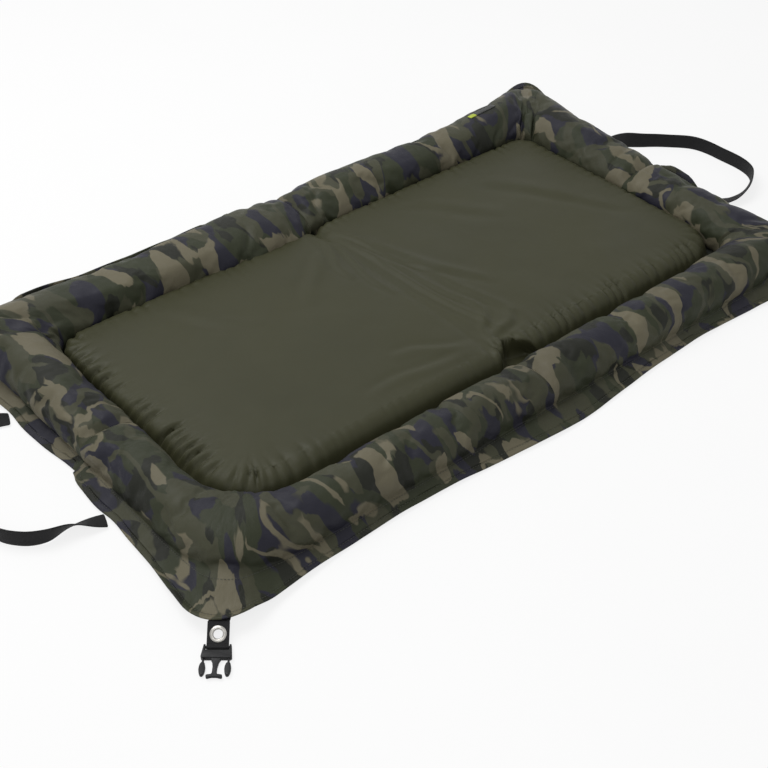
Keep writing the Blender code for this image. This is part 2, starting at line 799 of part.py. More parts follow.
def buckle_plug(corner, parts, tools, pivot):
    half_width = BUCKLE_WIDTH / 2
    body_end = SLOT_LENGTH + PLUG_BODY_LENGTH
    body = [
        (body_end - FRAME_CHAMFER, half_width),
        (body_end, half_width - FRAME_CHAMFER),
    ]
    name = "buckle_plug_" + corner
    plug = add_piece(name, flat_outline(name, (frame_outline(body),), FRAME_THICKNESS), parts, pivot)
    round_edges(plug, EDGE_ROUNDING)
    join_or_cut(plug, buckle_bar(corner, tools, pivot), "UNION")
    tongue_half = [
        (body_end + TONGUE_LENGTH * along, TONGUE_WIDTH / 2 * across) for along, across in TONGUE_HALF_SHARES
    ]
    name = "buckle_tongue_" + corner
    tongue = add_tool(
        name, flat_outline(name, (mirrored(tongue_half),), TONGUE_THICKNESS), tools, pivot
    )
    round_edges(tongue, TONGUE_ROUNDING)
    join_or_cut(plug, tongue, "UNION")
    paint(plug, BLACK_PLASTIC, 0.45, 0)
    for number, across in ((1, 1), (2, -1)):
        release_arm(corner, number, across, body_end, parts, pivot)


def release_arm(corner, number, across, body_end, parts, pivot):
    # a sprung side arm that bends inwards at its neck when the buckle is pinched
    place = (body_end + PIECE_GAP, across * ARM_OFFSET, 0)
    hinge = add_pivot(f"arm_pivot_{corner}_{number}", parts, place, parent=pivot)
    pad_centre = ARM_LENGTH - ARM_PAD_LENGTH / 2
    pad_radii = (ARM_PAD_LENGTH / 2, ARM_PAD_WIDTH / 2)
    neck_meets = 180 - math.degrees(math.asin(ARM_NECK_WIDTH / ARM_PAD_WIDTH))
    pad = ellipse_points((pad_centre, 0), pad_radii, -neck_meets, neck_meets, ARM_PAD_STEPS)
    neck = ARM_NECK_WIDTH / 2
    outline = [(0, neck), (0, -neck)] + pad
    name = f"release_arm_{corner}_{number}"
    arm = add_piece(name, flat_outline(name, (outline,), ARM_THICKNESS), parts, hinge)
    round_edges(arm, EDGE_ROUNDING)
    paint(arm, BLACK_PLASTIC, 0.45, 0)


def buckle_socket(corner, parts, tools, pivot):
    # a flat housing with an open mouth, and scalloped sides where the plug's arms show
    half_width = BUCKLE_WIDTH / 2
    body = [
        (SLOT_LENGTH + SOCKET_BODY_LENGTH * along, half_width * across) for along, across in SOCKET_HALF_SHARES
    ]
    name = "buckle_socket_" + corner
    mesh = flat_outline(name, (frame_outline(body),), SOCKET_THICKNESS)
    socket = add_piece(name, mesh, parts, pivot)
    round_edges(socket, EDGE_ROUNDING)
    join_or_cut(socket, buckle_bar(corner, tools, pivot), "UNION")
    length = SOCKET_BODY_LENGTH - SOCKET_ROOT + CUT_OVERRUN
    name = "socket_cavity_" + corner
    cavity = add_tool(
        name,
        box_mesh(name, length, SOCKET_CAVITY_WIDTH, SOCKET_CAVITY_HEIGHT),
        tools,
        pivot,
        (SLOT_LENGTH + SOCKET_ROOT + length / 2, 0, 0),
    )
    join_or_cut(socket, cavity, "DIFFERENCE")
    paint(socket, BLACK_PLASTIC, 0.45, 0)


def side_label(parts, parent, offset):
    # a small bare tag sewn on the outer slope of the bolster at the back right
    signs = CORNERS["back_right"]
    stations = quarter_stations()[LABEL_RUN_STEP : LABEL_RUN_STEP + 2]
    column = TUCK_STEPS + LABEL_CROWN_STEP
    corners = [
        quarter_point(station, *point, signs)
        for station in stations
        for point in bolster_profile(station)[column : column + 2]
    ]
    middle = sum(corners, Vector((0, 0, 0))) / len(corners)
    along = (corners[2] + corners[3] - corners[0] - corners[1]).normalized()
    down = (corners[1] + corners[3] - corners[0] - corners[2]).normalized()
    normal = along.cross(down).normalized()
    place = middle + normal * (LABEL_CLEARANCE + LABEL_THICKNESS / 2) + Vector(offset)
    turn = Matrix((along, normal.cross(along), normal)).transposed().to_euler()
    label = add_piece(
        "side_label", box_mesh("side_label", LABEL_LENGTH, LABEL_WIDTH, LABEL_THICKNESS),
        parts, parent, place, turn,
    )
    paint(label, LABEL_CLOTH, 0.8, 0)


def build_mat():
    clear_scene()
    parts = new_collection("unhooking_mat")
    tools = new_collection("unhooking_mat_cutters")
    fold_pivot = add_pivot("fold_pivot", parts, (0, 0, FOLD_AXIS_HEIGHT))
    halves = {
        "left": (-1, None, (0, 0, 0)),
        "right": (1, fold_pivot, (0, 0, -FOLD_AXIS_HEIGHT)),
    }
    for half, (side, parent, offset) in halves.items():
        base_sheet(half, side, parts, parent, offset)
        foam_pad(half, side, parts, parent, offset)
        panel_cover(half, side, parts, parent, offset)
        hem_binding(half, side, parts, parent, offset)
        carry_handle(half, side, parts, parent, offset)
    for corner, signs in CORNERS.items():
        side, parent, offset = halves[corner.split("_")[1]]
        bolster_cover(corner, signs, parts, parent, offset)
        bolster_filling(corner, signs, parts, parent, offset)
        thickness = FRAME_THICKNESS if side < 0 else SOCKET_THICKNESS
        pivot = corner_strap(corner, signs, thickness / 2, parts, tools, parent, offset)
        if side < 0:
            buckle_plug(corner, parts, tools, pivot)
        else:
            buckle_socket(corner, parts, tools, pivot)
    side_label(parts, halves["right"][1], halves["right"][2])


build_mat()
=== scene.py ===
import math

import bmesh
import bpy
import numpy as np
from mathutils import Matrix, Vector, noise


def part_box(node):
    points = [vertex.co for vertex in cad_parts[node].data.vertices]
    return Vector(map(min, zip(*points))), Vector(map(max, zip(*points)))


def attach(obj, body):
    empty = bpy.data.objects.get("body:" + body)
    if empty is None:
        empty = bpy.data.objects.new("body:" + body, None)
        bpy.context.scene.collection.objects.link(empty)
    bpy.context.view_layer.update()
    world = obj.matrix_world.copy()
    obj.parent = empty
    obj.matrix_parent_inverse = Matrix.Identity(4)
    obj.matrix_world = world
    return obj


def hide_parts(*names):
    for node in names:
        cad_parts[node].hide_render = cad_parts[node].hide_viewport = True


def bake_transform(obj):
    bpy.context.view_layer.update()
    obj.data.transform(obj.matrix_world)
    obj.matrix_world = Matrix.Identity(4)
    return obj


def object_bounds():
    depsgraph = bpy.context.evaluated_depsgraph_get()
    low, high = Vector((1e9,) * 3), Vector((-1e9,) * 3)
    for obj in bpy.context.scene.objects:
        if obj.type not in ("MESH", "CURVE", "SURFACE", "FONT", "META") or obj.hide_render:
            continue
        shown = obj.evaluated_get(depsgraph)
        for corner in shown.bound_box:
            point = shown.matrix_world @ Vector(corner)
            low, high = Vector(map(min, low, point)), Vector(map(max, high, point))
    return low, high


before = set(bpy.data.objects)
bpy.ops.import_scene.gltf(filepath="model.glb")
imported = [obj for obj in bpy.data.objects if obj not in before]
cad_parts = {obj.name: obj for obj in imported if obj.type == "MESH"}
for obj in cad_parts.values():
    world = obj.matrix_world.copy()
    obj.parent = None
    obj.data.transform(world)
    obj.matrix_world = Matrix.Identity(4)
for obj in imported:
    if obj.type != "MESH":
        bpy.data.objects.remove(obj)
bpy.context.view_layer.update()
scene = bpy.context.scene
quarters = {
    "front_left": (-1, -1),
    "front_right": (1, -1),
    "back_left": (-1, 1),
    "back_right": (1, 1),
}


# camera, placed as the mat was photographed

view = {
    "place": (-1.0666, -1.2664, 1.2005),
    "turn": -38.97,
    "down": 38.97,
    "roll": -0.77,
    "lens": 65.07,
}


def addCamera():
    turn, down, roll = (math.radians(view[key]) for key in ("turn", "down", "roll"))
    back = Vector((
        math.sin(turn) * math.cos(down),
        -math.cos(turn) * math.cos(down),
        math.sin(down),
    ))
    right = (-back).cross(Vector((0, 0, 1))).normalized()
    up = back.cross(right)
    side = right * math.cos(roll) + up * math.sin(roll)
    top = up * math.cos(roll) - right * math.sin(roll)
    data = bpy.data.cameras.new("camera")
    data.sensor_width = 36
    data.lens = view["lens"]
    data.clip_start = 0.05
    data.clip_end = 30
    camera = bpy.data.objects.new("camera", data)
    scene.collection.objects.link(camera)
    axes = Matrix((side, top, back)).transposed().to_4x4()
    camera.matrix_world = Matrix.Translation(view["place"]) @ axes
    scene.camera = camera


addCamera()
print("camera placed")


# small tools for meshes

def bell(distance, reach):
    return math.exp(-((distance / reach) ** 2))


def ease(value, low, high):
    share = min(1, max(0, (value - low) / (high - low)))
    return share * share * (3 - 2 * share)


def grain(x, y=0, z=0):
    return noise.noise(Vector((x, y, z)))


def gridFaces(rows, columns, flip=False):
    faces = []
    for row in range(rows - 1):
        for column in range(columns - 1):
            first = row * columns + column
            face = (first, first + 1, first + columns + 1, first + columns)
            faces.append(face[::-1] if flip else face)
    return faces


def tubeFaces(rows, columns, capped=True):
    # rings of points, shut at both ends or joined from the last ring to the first
    faces = []
    for row in range(rows - 1 if capped else rows):
        here, above = row * columns, (row + 1) % rows * columns
        for column in range(columns):
            after = (column + 1) % columns
            faces.append((here + column, here + after, above + after, above + column))
    if capped:
        faces.append(tuple(range(columns)))
        faces.append(tuple(range((rows - 1) * columns, rows * columns)))
    return faces


def bandFaces(first, second, flip=False):
    # the faces between two rings of points
    faces = []
    for place in range(len(first)):
        after = (place + 1) % len(first)
        face = (first[place], second[place], second[after], first[after])
        faces.append((face[0], *face[:0:-1]) if flip else face)
    return faces


def newPiece(name, points, faces, material, cloth=None):
    # cloth gives each point its place on the flat cloth, in metres
    mesh = bpy.data.meshes.new(name)
    mesh.from_pydata([tuple(point) for point in points], [], faces)
    mesh.materials.append(material)
    mesh.polygons.foreach_set("use_smooth", [True] * len(mesh.polygons))
    if cloth is not None:
        layer = mesh.uv_layers.new(name="cloth")
        layer.data.foreach_set(
            "uv", [value for loop in mesh.loops for value in cloth[loop.vertex_index]]
        )
    piece = bpy.data.objects.new(name, mesh)
    scene.collection.objects.link(piece)
    return piece


def settle(piece):
    # leaves the piece as a plain mesh, with its modifiers worked in
    graph = bpy.context.evaluated_depsgraph_get()
    mesh = bpy.data.meshes.new_from_object(
        piece.evaluated_get(graph), preserve_all_data_layers=True, depsgraph=graph
    )
    piece.modifiers.clear()
    piece.data = mesh
    return piece


def smoothOnce(piece):
    modifier = piece.modifiers.new("smooth", "SUBSURF")
    modifier.levels = 1
    modifier.render_levels = 1
    return settle(piece)


def weld(piece, distance=0.00002):
    shape = bmesh.new()
    shape.from_mesh(piece.data)
    bmesh.ops.remove_doubles(shape, verts=shape.verts, dist=distance)
    shape.to_mesh(piece.data)
    shape.free()


def facePiece(piece, closed=False):
    # turns the faces outward, or upward where the piece is open
    shape = bmesh.new()
    shape.from_mesh(piece.data)
    bmesh.ops.recalc_face_normals(shape, faces=shape.faces)
    lift = sum(face.normal.z * face.calc_area() for face in shape.faces)
    if not closed and lift < 0:
        bmesh.ops.reverse_faces(shape, faces=shape.faces)
    shape.to_mesh(piece.data)
    shape.free()


def overFold(piece):
    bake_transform(piece)


# materials

def newMaterial(name, **values):
    material = bpy.data.materials.new(name)
    material.use_nodes = True
    shader = material.node_tree.nodes["Principled BSDF"]
    for key, value in values.items():
        shader.inputs[key].default_value = value
    return material


def addNode(material, kind, inputs=None, **settings):
    node = material.node_tree.nodes.new("ShaderNode" + kind)
    for key, value in settings.items():
        setattr(node, key, value)
    for key, value in (inputs or {}).items():
        if isinstance(value, bpy.types.NodeSocket):
            material.node_tree.links.new(value, node.inputs[key])
        else:
            node.inputs[key].default_value = value
    return node


def toShader(material, **links):
    shader = material.node_tree.nodes["Principled BSDF"]
    for key, output in links.items():
        material.node_tree.links.new(output, shader.inputs[key.replace("_", " ")])


def mathNode(material, operation, *values):
    return addNode(material, "Math", dict(enumerate(values)), operation=operation).outputs[0]


def vectorNode(material, operation, first, second):
    # scaling takes a number and the other operations take a vector
    inputs = {0: first, "Scale" if operation == "SCALE" else 1: second}
    return addNode(material, "VectorMath", inputs, operation=operation).outputs["Vector"]


def speckle(material, place, scale, detail=2.0, roughness=0.5):
    return addNode(
        material,
        "TexNoise",
        {"Vector": place, "Scale": scale, "Detail": detail, "Roughness": roughness},
    ).outputs["Fac"]


def spread(material, value, low, high, fromLow=0.0, fromHigh=1.0):
    return addNode(
        material,
        "MapRange",
        {"Value": value, "From Min": fromLow, "From Max": fromHigh, "To Min": low, "To Max": high},
    ).outputs["Result"]


def mixColour(material, share, first, second, blend="MIX"):
    node = addNode(material, "Mix", data_type="RGBA", blend_type=blend)
    # the colour sockets are the sixth and seventh of the mix node
    for index, value in ((0, share), (6, first), (7, second)):
        if isinstance(value, bpy.types.NodeSocket):
            material.node_tree.links.new(value, node.inputs[index])
        elif index:
            node.inputs[index].default_value = (*value, 1)
        else:
            node.inputs[index].default_value = value
    return node.outputs[2]


def mottled(material, level, low, high, first, second):
    # the first colour below the low level of the noise, the second above the high one
    return mixColour(material, spread(material, level, 0, 1, low, high), first, second)


def clothPlace(material):
    return addNode(material, "UVMap", uv_map="cloth").outputs["UV"]


def bands(material, place, pitch, direction):
    # a wave has 20 radians to the metre at scale 1
    return addNode(
        material,
        "TexWave",
        {"Vector": place, "Scale": math.pi / 10 / pitch, "Distortion": 0.0},
        wave_type="BANDS",
        bands_direction=direction,
    ).outputs["Fac"]


def crossed(material, place, pitch, operation="ADD"):
    # bands along the cloth and across it
    along, across = (bands(material, place, pitch, direction) for direction in ("X", "Y"))
    return mathNode(material, operation, along, across)


def addRelief(material, layers):
    # each layer is a height, how deep it is in metres and how strongly it shows
    normal = None
    for height, depth, strength in layers:
        inputs = {"Height": height, "Distance": depth, "Strength": strength}
        if normal is not None:
            inputs["Normal"] = normal
        normal = addNode(material, "Bump", inputs).outputs["Normal"]
    toShader(material, Normal=normal)


camo = {
    "ground": (0.026, 0.030, 0.016),
    "olive": (0.044, 0.045, 0.027),
    "navy": (0.016, 0.016, 0.024),
    "dark": (0.011, 0.012, 0.008),
    "tan": (0.122, 0.110, 0.073),
    "size": 1.16,
    "length": 0.64,  # the print runs long along the short side of the mat
    "warpScale": 30,
    "warp": 0.026,
    "edgeScale": 100,
    "edge": 0.0065,
    "fingerScale": 230,
    "finger": 0.0026,
    "pitch": 0.0009,
    "detail": 0.6,
    "roughness": 0.4,
    "blur": 0.006,  # half the blur of a patch's edge
    "branchBlur": 0.005,
    # how far into the print each length of cloth is cut, and how far apart left and right are
    "cut": (0.61, 0.37),
    "sideCut": 0.09,
    # each patch of the print: its shift in the noise, its scale and its level
    "navyPatch": ((3.1, 1.7, 0), 20, 0.520),
    "darkPatch": ((1.3, 9.6, 0), 25, 0.585),
    "olivePatch": ((7.9, 4.2, 0), 21, 0.575),
    "tanPatch": ((5.5, 6.4, 0), 22, 0.615),
    # each branch: shift, scale and half width, and the patch inside which it shows
    "oliveBranch": ((9.2, 5.5, 0), 14, 0.032),
    "oliveArea": ((2.2, 7.1, 0), 11, 0.52),
    "tanBranch": ((4.4, 8.3, 0), 16, 0.025),
    "tanArea": ((6.1, 2.9, 0), 12, 0.54),
}


def camoCloth():
    material = newMaterial("camoCloth", **{
        "Roughness": 0.52,
        "Specular IOR Level": 0.17,
        "Sheen Weight": 0.01,
        "Sheen Roughness": 0.4,
    })
    place = clothPlace(material)
    warped = vectorNode(material, "MULTIPLY", place, (camo["size"], camo["length"], 1))
    for kind in ("warp", "edge", "finger"):
        wander = addNode(
            material, "TexNoise", {"Vector": warped, "Scale": camo[kind + "Scale"], "Detail": 0.5}
        ).outputs["Color"]
        centred = vectorNode(material, "SUBTRACT", wander, (0.5, 0.5, 0.5))
        pushed = vectorNode(material, "SCALE", centred, camo[kind])
        warped = vectorNode(material, "ADD", warped, pushed)

    def field(shift, scale):
        moved = vectorNode(material, "ADD", warped, shift)
        return speckle(material, moved, scale, camo["detail"], camo["roughness"])

    def patch(name):
        shift, scale, level = camo[name]
        low, high = level - camo["blur"], level + camo["blur"]
        return spread(material, field(shift, scale), 0, 1, low, high)

    def branch(name):
        # a thin winding shape: where the field crosses its middle
        shift, scale, half = camo[name + "Branch"]
        above = mathNode(material, "SUBTRACT", field(shift, scale), 0.5)
        away = mathNode(material, "ABSOLUTE", above)
        line = spread(material, away, 1, 0, half - camo["branchBlur"], half + camo["branchBlur"])
        return mathNode(material, "MINIMUM", line, patch(name + "Area"))

    branches = {name: branch(name) for name in ("tan", "olive")}
    colour = mixColour(material, patch("navyPatch"), camo["ground"], camo["navy"])
    colour = mixColour(material, patch("darkPatch"), colour, camo["dark"])
    for name in ("olive", "tan"):
        share = mathNode(material, "MAXIMUM", patch(name + "Patch"), branches[name])
        colour = mixColour(material, share, colour, camo[name])
    fade = spread(material, speckle(material, place, 7, 3), 0.86, 1.14, 0.3, 0.7)
    shade = addNode(material, "CombineColor", {0: fade, 1: fade, 2: fade}).outputs[0]
    colour = mixColour(material, 1.0, colour, shade, "MULTIPLY")
    crinkle = speckle(material, place, 75, 3, 0.55)
    toShader(material, Base_Color=colour, Roughness=spread(material, crinkle, 0.44, 0.62, 0.3, 0.7))
    weave = crossed(material, place, camo["pitch"])
    addRelief(material, ((crinkle, 0.0022, 0.5), (weave, 0.00006, 0.5)))
    return material


panelFinish = {
    "colour": (0.0418, 0.0420, 0.0208),
    "deep": (0.0368, 0.0374, 0.0182),
    "pitch": 0.0007,
}


def panelCloth():
    material = newMaterial("panelCloth", **{
        "Roughness": 0.42,
        "Specular IOR Level": 0.16,
        "Sheen Weight": 0.01,
        "Sheen Roughness": 0.35,
    })
    place = clothPlace(material)
    cloud = speckle(material, place, 5, 4, 0.55)
    colour = mottled(material, cloud, 0.32, 0.66, panelFinish["deep"], panelFinish["colour"])
    crinkle = speckle(material, place, 60, 2.5, 0.5)
    toShader(material, Base_Color=colour, Roughness=spread(material, cloud, 0.38, 0.5, 0.3, 0.7))
    weave = crossed(material, place, panelFinish["pitch"])
    addRelief(material, ((crinkle, 0.0009, 0.25), (weave, 0.00005, 0.5)))
    return material


groundFinish = {
    "dark": (0.022, 0.025, 0.019),
    "light": (0.036, 0.040, 0.030),
    "ripstop": 0.005,
    "pitch": 0.0008,
}


def groundCloth():
    material = newMaterial("groundCloth", **{"Roughness": 0.5, "Specular IOR Level": 0.4})
    place = clothPlace(material)
    worn = speckle(material, place, 12, 4, 0.6)
    colour = mottled(material, worn, 0.35, 0.65, groundFinish["dark"], groundFinish["light"])
    grid = crossed(material, place, groundFinish["ripstop"], "MAXIMUM")
    rib = spread(material, grid, 0, 1, 0.93, 1.0)
    weave = bands(material, place, groundFinish["pitch"], "DIAGONAL")
    toShader(material, Base_Color=colour, Roughness=spread(material, worn, 0.42, 0.6, 0.3, 0.7))
    addRelief(material, ((rib, 0.0002, 0.6), (weave, 0.00005, 0.4)))
    return material


webbingFinish = {
    "colour": (0.0045, 0.0045, 0.0050),
    "worn": (0.013, 0.013, 0.014),
    "rib": 0.0016,
    "cord": 0.0011,
}


def webbing():
    # the cloth place runs along the strap first and across it second
    material = newMaterial("webbing", **{
        "Roughness": 0.7,
        "Specular IOR Level": 0.2,
        "Sheen Weight": 0.03,
        "Sheen Roughness": 0.45,
    })
    place = clothPlace(material)
    rib = bands(material, place, webbingFinish["rib"], "X")
    cord = bands(material, place, webbingFinish["cord"], "Y")
    twill = bands(material, place, webbingFinish["rib"], "DIAGONAL")
    fuzz = speckle(material, place, 900, 2)
    colour = mottled(material, fuzz, 0.35, 0.75, webbingFinish["colour"], webbingFinish["worn"])
    weave = mathNode(material, "MULTIPLY", rib, cord)
    both = mathNode(material, "ADD", weave, twill)
    toShader(material, Base_Color=colour, Roughness=spread(material, both, 0.6, 0.8, 0, 2))
    addRelief(material, ((both, 0.00022, 0.7), (fuzz, 0.0001, 0.3)))
    return material


def plainNoise(material, scale, detail=2.0):
    place = addNode(material, "TexCoord").outputs["Object"]
    return speckle(material, place, scale, detail)


def threadFinish():
    material = newMaterial("thread", **{"Roughness": 0.6, "Sheen Weight": 0.1})
    twist = plainNoise(material, 1500)
    colour = mottled(material, twist, 0.3, 0.7, (0.016, 0.017, 0.012), (0.040, 0.041, 0.029))
    toShader(material, Base_Color=colour)
    addRelief(material, ((twist, 0.0001, 0.5),))
    return material


def bucklePlastic():
    material = newMaterial("bucklePlastic", **{"Roughness": 0.4, "Specular IOR Level": 0.22})
    fine = plainNoise(material, 2600, 3)
    broad = plainNoise(material, 120, 3)
    colour = mottled(
        material, broad, 0.3, 0.7, (0.0040, 0.0042, 0.0048), (0.0085, 0.0088, 0.0098)
    )
    toShader(material, Base_Color=colour, Roughness=spread(material, broad, 0.34, 0.5, 0.3, 0.7))
    addRelief(material, ((fine, 0.00008, 0.35),))
    return material


def nickel():
    material = newMaterial("nickel", **{"Metallic": 1.0, "Roughness": 0.26})
    broad = plainNoise(material, 160, 4)
    fine = plainNoise(material, 2200, 2)
    colour = mottled(material, broad, 0.3, 0.7, (0.30, 0.29, 0.27), (0.48, 0.47, 0.44))
    toShader(material, Base_Color=colour, Roughness=spread(material, broad, 0.18, 0.38, 0.3, 0.7))
    addRelief(material, ((fine, 0.00004, 0.3),))
    return material


def stuffing(name, dark, light, scale):
    material = newMaterial(name, **{"Roughness": 0.95, "Sheen Weight": 0.2})
    tufts = plainNoise(material, scale, 5)
    toShader(material, Base_Color=mottled(material, tufts, 0.3, 0.7, dark, light))
    addRelief(material, ((tufts, 0.003, 0.6),))
    return material


def labelCloth():
    # a dark woven tag with a plain yellow green end
    material = newMaterial("labelCloth", **{"Roughness": 0.7, "Sheen Weight": 0.15})
    place = clothPlace(material)
    along = addNode(material, "SeparateXYZ", {0: place}).outputs[0]
    end = spread(material, along, 1, 0, 0.0135, 0.0140)
    thread = speckle(material, place, 1400, 2)
    dark = mixColour(material, thread, (0.012, 0.013, 0.012), (0.030, 0.031, 0.029))
    green = mixColour(material, thread, (0.33, 0.42, 0.02), (0.50, 0.58, 0.05))
    toShader(material, Base_Color=mixColour(material, end, dark, green))
    weave = bands(material, place, 0.0007, "DIAGONAL")
    addRelief(material, ((weave, 0.0001, 0.5),))
    return material


finishes = {
    "camo": camoCloth(),
    "panel": panelCloth(),
    "ground": groundCloth(),
    "webbing": webbing(),
    "thread": threadFinish(),
    "plastic": bucklePlastic(),
    "nickel": nickel(),
    "wadding": stuffing("wadding", (0.62, 0.62, 0.60), (0.82, 0.82, 0.80), 60),
    "foam": stuffing("foam", (0.15, 0.15, 0.16), (0.25, 0.25, 0.26), 400),
    "label": labelCloth(),
}
print("materials made")


# plan of the mat, the first quarter seen from above

plan = {
    "bedLength": 0.915,
    "bedWidth": 0.457,
    "bedCorner": 0.028,
    "stitchOutset": 0.0765,  # the seam that closes the bolster outside
    "hemOutset": 0.1035,
    "hemCorner": 0.045,
    "hemRise": 0.0022,
    "cornerRise": 0.014,
    "cornerReach": 0.085,
    "cornerFlare": 0.020,
    "foldFlare": 0.012,
    "foldReach": 0.10,
    "runDraw": 0.007,
    "runReach": 0.12,
    "sideNotch": 0.011,
    "notchReach": 0.05,
}


def seamDistances(station):
    # from the fold seam, from the side seam and from the corner's middle
    run, share = station
    halfArc = plan["hemCorner"] * math.pi / 4
    longRun = plan["bedLength"] / 2
    shortRun = plan["bedWidth"] / 2
    if run == "long":
        fromCorner = (1 - share) * longRun + halfArc
        return share * longRun, shortRun + halfArc + fromCorner, fromCorner
    if run == "short":
        fromCorner = share * shortRun + halfArc
        return longRun + halfArc + fromCorner, (1 - share) * shortRun, fromCorner
    fromCorner = abs(2 * share - 1) * halfArc
    return longRun + halfArc, shortRun + halfArc, fromCorner


def hemWave(station):
    fromFold, fromSide, fromCorner = seamDistances(station)
    wave = plan["cornerFlare"] * bell(fromCorner, plan["cornerReach"])
    wave += plan["foldFlare"] * bell(fromFold, plan["foldReach"])
    wave -= plan["sideNotch"] * bell(fromSide, plan["notchReach"])
    wave -= plan["runDraw"] * bell((fromFold - fromCorner) / 2, plan["runReach"])
    return wave


def planPoint(station, outset):
    # a point of the first quarter, this far outside the seam round the bed
    run, share = station
    growth = (plan["hemCorner"] - plan["bedCorner"]) / plan["hemOutset"]
    radius = plan["bedCorner"] + growth * outset
    centreX = plan["bedLength"] / 2 + outset - radius
    centreY = plan["bedWidth"] / 2 + outset - radius
    flangeShare = (outset - plan["stitchOutset"]) / (plan["hemOutset"] - plan["stitchOutset"])
    reach = radius + max(0, flangeShare) * hemWave(station)
    if run == "long":
        return Vector((share * centreX, centreY + reach))
    if run == "short":
        return Vector((centreX + reach, (1 - share) * centreY))
    angle = share * math.pi / 2
    return Vector((centreX + reach * math.sin(angle), centreY + reach * math.cos(angle)))


def quarterStations(step, cornerSteps):
    middle = planPoint(("long", 1), plan["stitchOutset"] / 2)
    end = planPoint(("corner", 1), plan["stitchOutset"] / 2)
    longSteps = round(middle.x / step)
    shortSteps = round(end.y / step)
    stations = [("long", number / longSteps) for number in range(longSteps + 1)]
    stations += [("corner", number / cornerSteps) for number in range(1, cornerSteps + 1)]
    return stations + [("short", number / shortSteps) for number in range(1, shortSteps + 1)]


# the flange: the cloth outside the bolster's seam, which curls and waves

flange = {
    "base": 0.0022,  # the height of the middle of its two cloths where it lies flat
    "lift": 0.0008,
    "seamLift": 0.0105,  # the filled bolster holds its seam this far up
    "cornerLift": {(-1, -1): 0.017, (1, -1): 0.010, (-1, 1): 0.016, (1, 1): 0.020},
    "cornerLiftReach": 0.065,
    "backLift": {-1: 0.025, 1: 0.015},  # the back edge stands higher on the left half
    "backEvenReach": 0.05,  # the two halves meet at the same height
    "foldDrop": 0.6,  # the back edge's share of height lost at the fold
    "foldDropReach": 0.12,
    "liftFromSide": (0.13, 0.25),  # from and to where the back edge rises
    "liftFromCorner": (0.01, 0.13),
    "backCurl": 0.85,
    "curlFromCorner": (0.02, 0.12),
    "curlDropReach": 0.07,
    # the back right corner stands up: the share of its height that it keeps, its curl,
    # how far that reaches, its width and how far that reaches
    "stand": {"hold": 0.95, "curl": 0.26, "reach": 0.05, "width": 0.005, "widthReach": 0.022},
    "sideLift": 0.012,
    "sideLiftReach": 0.03,
    "puff": 0.0013,
    "frontStep": {-1: 0.010, 1: 0.016},  # how much wider the front length is at each side seam
    "stepReach": 0.075,
    "stepCut": 0.6,  # the share of that which is drawn in again right at the seam
    "stepCutReach": 0.009,
    "cornerWiden": 0.0025,  # covers the root of the corner strap
    "cornerWidenReach": 0.03,
    "wave": 0.16,
    "broadWave": 13,  # waves to about this many in a metre
    "fineWave": 31,
    "fineShare": 0.4,
    # the back edge waves: where, how much, how far
    "backHumps": (
        (-0.394, 0.40, 0.040), (-0.340, -0.25, 0.022), (-0.290, 0.30, 0.026),
        (-0.225, 0.42, 0.024), (-0.188, -0.20, 0.014), (-0.152, 0.40, 0.024),
        (-0.118, -0.15, 0.012), (-0.083, 0.30, 0.020), (0.160, -0.30, 0.040),
        (0.254, 0.35, 0.036),
    ),
    "leastCurl": 0.04,
    "holdFrom": 0.45,  # from this curl on the edge keeps the height of its seam
    "holdGain": 1.4,
    "fall": (-0.004, 0.9),  # from this distance to this share of the width the edge comes down
    "edgeInset": 0.0006,  # how far the cloths end inside the hem's tape
    "curl": 0.95,  # the free end beside the right side seam stands up
    "curlFrom": -0.095,
    "curlTo": -0.045,
    # the hem draws in where a handle is sewn on, which leaves the lifted handle room
    "handleRoots": (-0.101, 0.150),
    "handleRoom": 0.0032,
    "handleReach": 0.024,
}


def seamRise(station, signs):
    # how far the seam stands off the ground here
    fromFold, fromSide, fromCorner = seamDistances(station)
    rise = flange["seamLift"]
    rise += flange["cornerLift"][signs] * bell(fromCorner, flange["cornerLiftReach"])
    if signs[1] > 0:
        lift = flange["backLift"][signs[0]]
        even = sum(flange["backLift"].values()) / 2
        lift += (even - lift) * bell(fromFold, flange["backEvenReach"])
        lift *= 1 - flange["foldDrop"] * bell(fromFold, flange["foldDropReach"])
        raised = ease(fromSide, *flange["liftFromSide"])
        rise += lift * raised * ease(fromCorner, *flange["liftFromCorner"])
    if signs[0] > 0 and station[0] == "short":
        if signs[1] > 0:
            rise += flange["sideLift"] * bell(fromSide, flange["sideLiftReach"])
        else:
            rise += flange["sideLift"] * ease(-fromSide, flange["curlFrom"], 0)
    return rise


